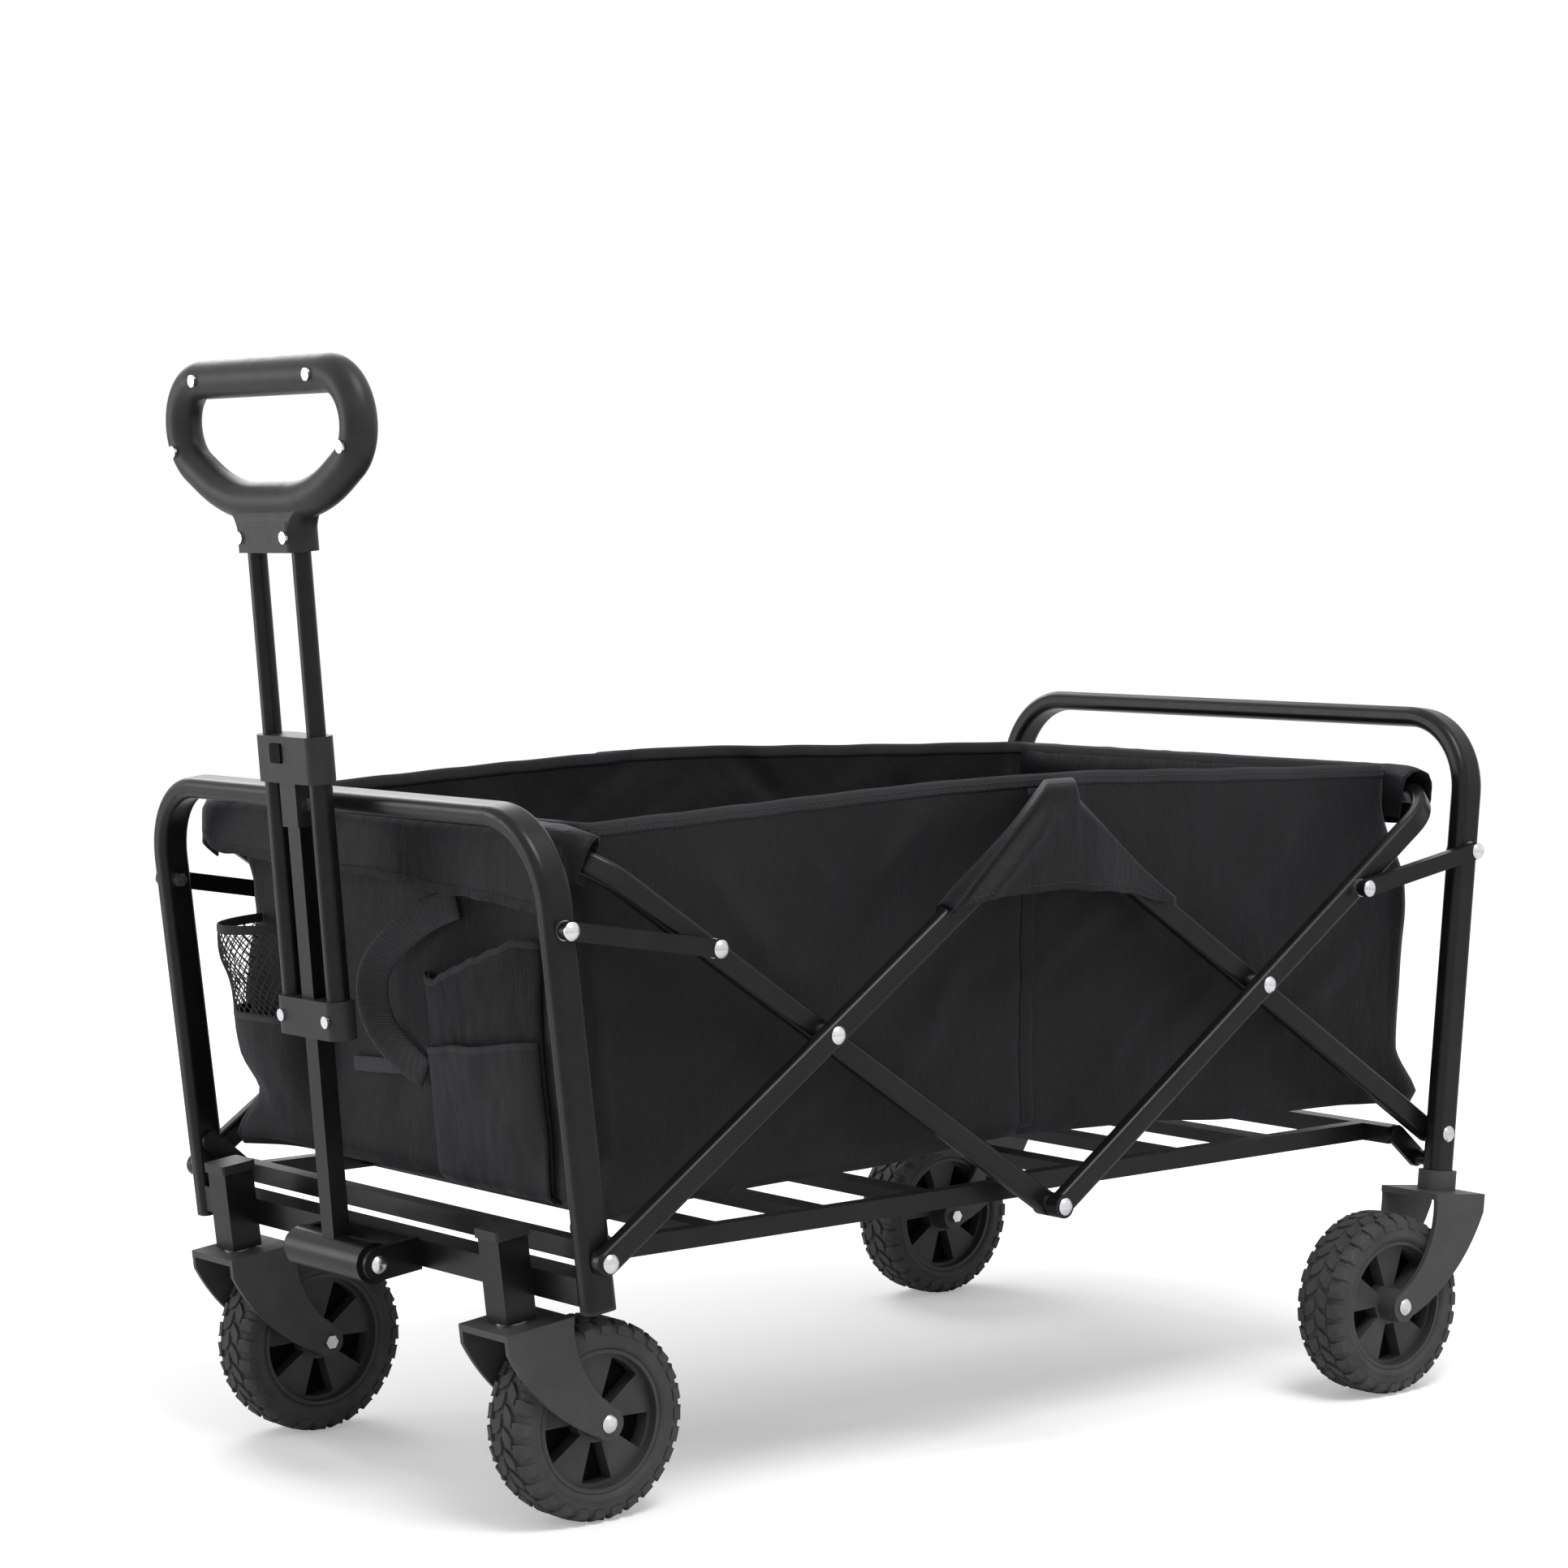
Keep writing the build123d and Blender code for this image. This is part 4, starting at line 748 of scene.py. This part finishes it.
def keepUsed(piece):
    work = bmesh.new()
    work.from_mesh(piece.data)
    loose = [v for v in work.verts if not v.link_faces]
    bmesh.ops.delete(work, geom=loose, context="VERTS")
    work.to_mesh(piece.data)
    work.free()


cupCloth, cupNet, cupRim, cupBand = makeCup()
bagPiece(cupCloth, "black_fabric", "front_pockets")
for piece in (cupNet, cupRim, cupBand):
    bagPiece(piece, "webbing")

# flat pocket in two tiers: a slack upper mouth and a shorter lower pouch
pouch = {
    "left": 0.042, "right": 0.184, "low": 0.2265, "columns": 56,
    "thick": 0.0013, "tape": (0.0060, 0.0020), "wrinkle": 0.0026, "crease": 0.0010,
    "upper": {
        "depth": 0.016, "base": 0.0014, "rows": 26, "seed": 20,
        "mouth": ((0.0, 0.3765), (0.09, 0.3735), (0.18, 0.3735), (0.31, 0.3802), (0.45, 0.3870),
                  (0.60, 0.3948), (0.74, 0.4024), (0.87, 0.4094), (1.0, 0.4090)),
    },
    "lower": {
        "depth": 0.015, "base": 0.0052, "rows": 20, "seed": 24,
        "mouth": ((0.0, 0.322), (0.5, 0.330), (1.0, 0.338)),
    },
}


def pouchPoint(share, z, tier):
    top = alongTable(tier["mouth"], share)
    rise = (z - pouch["low"]) / (top - pouch["low"])
    belly = math.sin(math.pi * min(1.0, max(0.0, share))) ** 0.6
    out = tier["base"] + tier["depth"] * belly * (0.25 + 0.75 * rise)
    out += pouch["wrinkle"] * belly * ripple(share * 5 + 2 * rise, rise * 3, 0, tier["seed"])
    out += pouch["crease"] * belly * ripple(share * 17, rise * 9, 0, tier["seed"] + 1)
    return panelPoint(lerp(pouch["left"], pouch["right"], share), z, max(out, tier["base"]))


def makePouch(name, tier, finish):
    points = []
    for row in range(tier["rows"]):
        for step in range(pouch["columns"]):
            share = step / (pouch["columns"] - 1)
            z = lerp(pouch["low"], alongTable(tier["mouth"], share), row / (tier["rows"] - 1))
            points.append(pouchPoint(share, z, tier))
    cloth = makePiece(name, points, gridFaces(pouch["columns"], tier["rows"]), finish)
    settle(cloth, pouch["thick"])
    path = [p.copy() for p in points[-pouch["columns"]:]]
    rim = tapeAlong(name + "_rim", path, [Vector((0, 0, 1))] * len(path), bindingCloth, *pouch["tape"])
    return cloth, rim


upperPouch, upperRim = makePouch("upper_pouch", pouch["upper"], clothBlack)
lowerPouch, lowerRim = makePouch("lower_pouch", pouch["lower"], clothPale)
for piece in (upperPouch, lowerPouch):
    bagPiece(piece, "black_fabric")
for piece in (upperRim, lowerRim):
    bagPiece(piece, "webbing")
print("pockets made")

# grab strap: slack webbing that bows out in a C between its sewn ends, and a short tab beside it
strap = {
    "path": ((0.084, 0.4320, 0.003), (0.058, 0.4240, 0.009), (0.029, 0.4070, 0.013),
             (-0.008, 0.3820, 0.0145), (-0.020, 0.3560, 0.0145), (-0.009, 0.3290, 0.013),
             (0.012, 0.3120, 0.008), (0.030, 0.3020, 0.003)),
    "tab": ((-0.066, 0.3005, 0.0030), (-0.040, 0.3020, 0.0042), (-0.015, 0.3040, 0.0042),
            (0.004, 0.3050, 0.0030)),
    "width": 0.024, "tabWidth": 0.012, "thick": 0.0022, "twist": 0.80, "roundness": 5,
}


def smoothPath(route, steps):
    # an even, rounded line through a few marked points
    curve = bpy.data.curves.new("route", "CURVE")
    curve.dimensions = "3D"
    spline = curve.splines.new("NURBS")
    spline.points.add(len(route) - 1)
    for point, spot in zip(spline.points, route):
        point.co = (*spot, 1.0)
    spline.order_u = 4
    spline.use_endpoint_u = True
    curve.resolution_u = steps
    holder = bpy.data.objects.new("route", curve)
    scene.collection.objects.link(holder)
    mesh = bpy.data.meshes.new_from_object(holder)
    line = [v.co.copy() for v in mesh.vertices]
    bpy.data.objects.remove(holder)
    bpy.data.curves.remove(curve)
    bpy.data.meshes.remove(mesh)
    return line


strapLine = smoothPath([panelPoint(x, z, out) for x, z, out in strap["path"]], steps=8)
strapSide = []
for index, spot in enumerate(strapLine):
    share = index / (len(strapLine) - 1)
    ahead = strapLine[min(index + 1, len(strapLine) - 1)] - strapLine[max(index - 1, 0)]
    twist = strap["twist"] * math.sin(math.pi * share) ** 0.6
    outward = Vector((0.0, -1.0, 0.0))
    strapSide.append(ahead.normalized().cross(outward) * math.cos(twist) + outward * math.sin(twist))
strapShape = (strap["thick"], strap["roundness"])
strapBand = tapeAlong("grab_strap", strapLine, strapSide, webbingCloth, strap["width"], *strapShape)
bagPiece(strapBand, "webbing", "strap_band")
tabLine = smoothPath([panelPoint(x, z, out) for x, z, out in strap["tab"]], steps=6)
tabSide = [Vector((0, 0, 1))] * len(tabLine)
strapTab = tapeAlong("strap_tab", tabLine, tabSide, webbingCloth, strap["tabWidth"], *strapShape)
bagPiece(strapTab, "webbing")
print("strap made")

# tyres: a rounded carcass with side rings, two rows of slanted blocks and lugs on both shoulders
tyre = {
    "turns": 112, "blocks": 28, "shift": 0.25, "lean": 0.20, "taper": 0.05, "bevel": 0.0007,
    "crownBlock": ((0.0010, -0.33, -1), (0.0010, 0.30, -1), (0.0060, 0.40, 0), (0.0112, 0.28, 1),
                   (0.0112, -0.26, 1), (0.0056, -0.38, 0)),
    "crownRadii": ((0.0684, 0.0719),) * 6,
    "shoulderBlock": ((0.0124, -0.32, 0), (0.0124, 0.32, 0), (0.0190, 0.37, 0), (0.0228, 0.30, 0),
                      (0.0228, -0.30, 0), (0.0190, -0.37, 0)),
    "shoulderRadii": ((0.0676, 0.0717), (0.0676, 0.0717), (0.0655, 0.0707), (0.0622, 0.0678),
                      (0.0622, 0.0678), (0.0655, 0.0707)),
    "profile": ((0.0194, 0.0513), (0.0206, 0.0516), (0.0215, 0.0535), (0.0221, 0.0545), (0.0221, 0.0562),
                (0.0217, 0.0568), (0.0220, 0.0604), (0.0215, 0.0645), (0.0200, 0.0674), (0.0160, 0.0690),
                (0.0080, 0.0697), (0.0, 0.0698)),
}


def ringPoint(x, radius, turn):
    return Vector((x, radius * math.cos(turn), radius * math.sin(turn)))


def tyreMesh():
    side = list(tyre["profile"])
    loop = side + [(-x, r) for x, r in reversed(side[:-1])]
    points, faces = [], []
    for step in range(tyre["turns"]):
        turn = 2 * math.pi * step / tyre["turns"]
        points += [ringPoint(x, r, turn) for x, r in loop]
    count = len(loop)
    for step in range(tyre["turns"]):
        after = (step + 1) % tyre["turns"]
        for index in range(count):
            beside = (index + 1) % count
            faces.append((step * count + index, step * count + beside,
                          after * count + beside, after * count + index))
    smooth = [True] * len(faces)
    pitch = 2 * math.pi / tyre["blocks"]

    def block(corners, radii):
        # corners are (x, turn) pairs round the foot, radii the depth and height of each
        base = len(points)
        sides = len(corners)
        taper = tyre["taper"]
        midX = sum(c[0] for c in corners) / sides
        midT = sum(c[1] for c in corners) / sides
        for (x, turn), (deep, high) in zip(corners, radii):
            points.append(ringPoint(x, deep, turn))
        for (x, turn), (deep, high) in zip(corners, radii):
            points.append(ringPoint(lerp(x, midX, taper), high - tyre["bevel"], lerp(turn, midT, taper)))
        for (x, turn), (deep, high) in zip(corners, radii):
            points.append(ringPoint(lerp(x, midX, taper * 2), high, lerp(turn, midT, taper * 2)))
        for layer in range(2):
            for index in range(sides):
                beside = (index + 1) % sides
                faces.append((base + layer * sides + index, base + layer * sides + beside,
                              base + (layer + 1) * sides + beside, base + (layer + 1) * sides + index))
        faces.append(tuple(base + index for index in reversed(range(sides))))
        faces.append(tuple(base + 2 * sides + index for index in range(sides)))
        smooth.extend([False] * (2 * sides + 2))

    lean = tyre["lean"] * pitch
    for step in range(tyre["blocks"]):
        for hand in (-1, 1):
            turn = pitch * (step + tyre["shift"] * hand)
            for kind in ("crown", "shoulder"):
                foot = tyre[kind + "Block"]
                corners = [(hand * x, turn + share * pitch + side * lean) for x, share, side in foot]
                block(corners, tyre[kind + "Radii"])
                turn += 0.5 * pitch
    return points, faces, smooth


wheelNames = ("front_wheel_left", "front_wheel_right", "rear_wheel_left", "rear_wheel_right")


def hubOf(wheelName):
    low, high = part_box(wheelName + "_rim")
    return (low + high) / 2


tyrePoints, tyreFaces, tyreSmooth = tyreMesh()
for wheelName in wheelNames:
    hub = hubOf(wheelName)
    mesh = bpy.data.meshes.new(wheelName + "_tread")
    mesh.from_pydata([tuple(p + hub) for p in tyrePoints], [], tyreFaces)
    work = bmesh.new()
    work.from_mesh(mesh)
    bmesh.ops.recalc_face_normals(work, faces=work.faces)
    work.to_mesh(mesh)
    work.free()
    mesh.polygons.foreach_set("use_smooth", tyreSmooth)
    mesh.materials.append(rubberFinish)
    tread = bpy.data.objects.new(wheelName + "_tread", mesh)
    scene.collection.objects.link(tread)
    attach(tread, wheelName)
    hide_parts(wheelName + "_tyre")
print("tyres made")

# painted shade in the rim windows: five thin near-black plates on each face of every wheel stand in for the
# shade deep in the window pockets
window = {
    "count": 5, "turn": 54.0, "half": 16.0, "steps": 9,
    "section": ((0.0011, 0.0163), (0.0011, 0.0447), (0.0019, 0.0447), (0.0019, 0.0163)),
}


def windowMesh():
    points, faces = [], []
    for face in (-1, 1):
        for index in range(window["count"]):
            base = len(points)
            middle = window["turn"] + 360 / window["count"] * index
            for step in range(window["steps"]):
                swing = lerp(-window["half"], window["half"], step / (window["steps"] - 1))
                for x, radius in window["section"]:
                    points.append(ringPoint(face * x, radius, math.radians(middle + swing)))
            for step in range(window["steps"] - 1):
                for side in range(4):
                    here, beside = base + step * 4 + side, base + step * 4 + (side + 1) % 4
                    faces.append((here, beside, beside + 4, here + 4))
            last = base + (window["steps"] - 1) * 4
            faces.append((base, base + 1, base + 2, base + 3))
            faces.append((last + 3, last + 2, last + 1, last))
    return points, faces


windowPoints, windowFaces = windowMesh()
for wheelName in wheelNames:
    hub = hubOf(wheelName)
    shadePlates = makePiece(wheelName + "_window_shade_plates", [p + hub for p in windowPoints], windowFaces, windowShadeFinish, False)
    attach(shadePlates, wheelName)
print("rim windows darkened")

# camera where the photograph was taken from
view = {
    "place": (2.4561, -1.9905, 0.7132), "back": (0.78193, -0.62119, 0.05193),
    "right": (0.62203, 0.78299, 0.0), "roll": -0.6077, "lens": 91.45, "sensor": 36.0,
    "shift": (-0.0009, -0.0453), "reach": 100.0,
}
back = Vector(view["back"]).normalized()
level = Vector(view["right"]).normalized()
upright = back.cross(level)
roll = math.radians(view["roll"])
right = level * math.cos(roll) + upright * math.sin(roll)
above = upright * math.cos(roll) - level * math.sin(roll)
cameraData = bpy.data.cameras.new("photo_camera")
cameraData.sensor_width = view["sensor"]
cameraData.lens = view["lens"]
cameraData.shift_x, cameraData.shift_y = view["shift"]
cameraData.clip_end = view["reach"]
camera = bpy.data.objects.new("photo_camera", cameraData)
turned = Matrix((right, above, back)).transposed().to_4x4()
camera.matrix_world = Matrix.Translation(view["place"]) @ turned
scene.collection.objects.link(camera)
scene.camera = camera

# pale floor that glows a little more away from the wagon, white surroundings and soft lamps
studio = {
    "floor": 0.88, "mottle": 0.01, "size": 60.0, "lift": 0.31, "far": 0.46, "near": 0.5, "fade": 1.1,
    "world": 0.62,
    "lamps": (("back_softbox", (-2.6, 0.6, 2.2), (0.0, 0.0, 0.35), 1.6, 34.0),
              ("front_softbox", (-2.3, -2.5, 0.75), (0.1, -0.3, 0.30), 1.3, 21.0),
              ("top_softbox", (1.5, -0.3, 2.9), (0.1, 0.0, 0.3), 1.3, 58.0)),
}
bpy.ops.mesh.primitive_grid_add(x_subdivisions=2, y_subdivisions=2, size=studio["size"],
                                location=(0.0, 0.0, 0.0))
floor = bpy.context.object
floor.name = "studio_floor"
floorFinish, tree, shader, place = newFinish("pale_studio_floor")
paintStops = ((0.2, grey(studio["floor"] - studio["mottle"])), (0.8, grey(studio["floor"])))
paint = addRamp(tree, addNoise(tree, place, 3.0, 2.0), paintStops)
tree.links.new(paint, shader.inputs["Base Color"])
shader.inputs["Roughness"].default_value = 0.9
shader.inputs["Specular IOR Level"].default_value = 0.1
shader.inputs["Emission Color"].default_value = (1.0, 1.0, 1.0, 1.0)
floorPath = tree.nodes.new("ShaderNodeLightPath")
away = tree.nodes.new("ShaderNodeVectorMath")
away.operation = "LENGTH"
tree.links.new(place, away.inputs[0])
reach = addMath(tree, "SUBTRACT", away.outputs["Value"], studio["near"])
reach = addMath(tree, "DIVIDE", reach, studio["fade"])
glow = addRange(tree, reach, studio["lift"], studio["far"])
glow = addMath(tree, "MULTIPLY", floorPath.outputs["Is Camera Ray"], glow)
tree.links.new(glow, shader.inputs["Emission Strength"])
floor.data.materials.append(floorFinish)

world = bpy.data.worlds.new("white_surroundings")
scene.world = world
world.use_nodes = True
tree = world.node_tree
sky = tree.nodes["Background"]
sky.inputs["Color"].default_value = (1.0, 1.0, 1.0, 1.0)
skyPath = tree.nodes.new("ShaderNodeLightPath")
seen = addMath(tree, "MAXIMUM", skyPath.outputs["Is Camera Ray"], skyPath.outputs["Is Glossy Ray"])
seen = addMath(tree, "MAXIMUM", seen, skyPath.outputs["Is Transmission Ray"])
tree.links.new(addRange(tree, seen, studio["world"], 1.0), sky.inputs["Strength"])
for name, spot, aim, size, power in studio["lamps"]:
    lampData = bpy.data.lights.new(name, "AREA")
    lampData.size = size
    lampData.energy = power
    lamp = bpy.data.objects.new(name, lampData)
    lamp.location = spot
    lamp.rotation_euler = (Vector(aim) - Vector(spot)).to_track_quat("-Z", "Y").to_euler()
    scene.collection.objects.link(lamp)
print("camera, floor and lamps set")
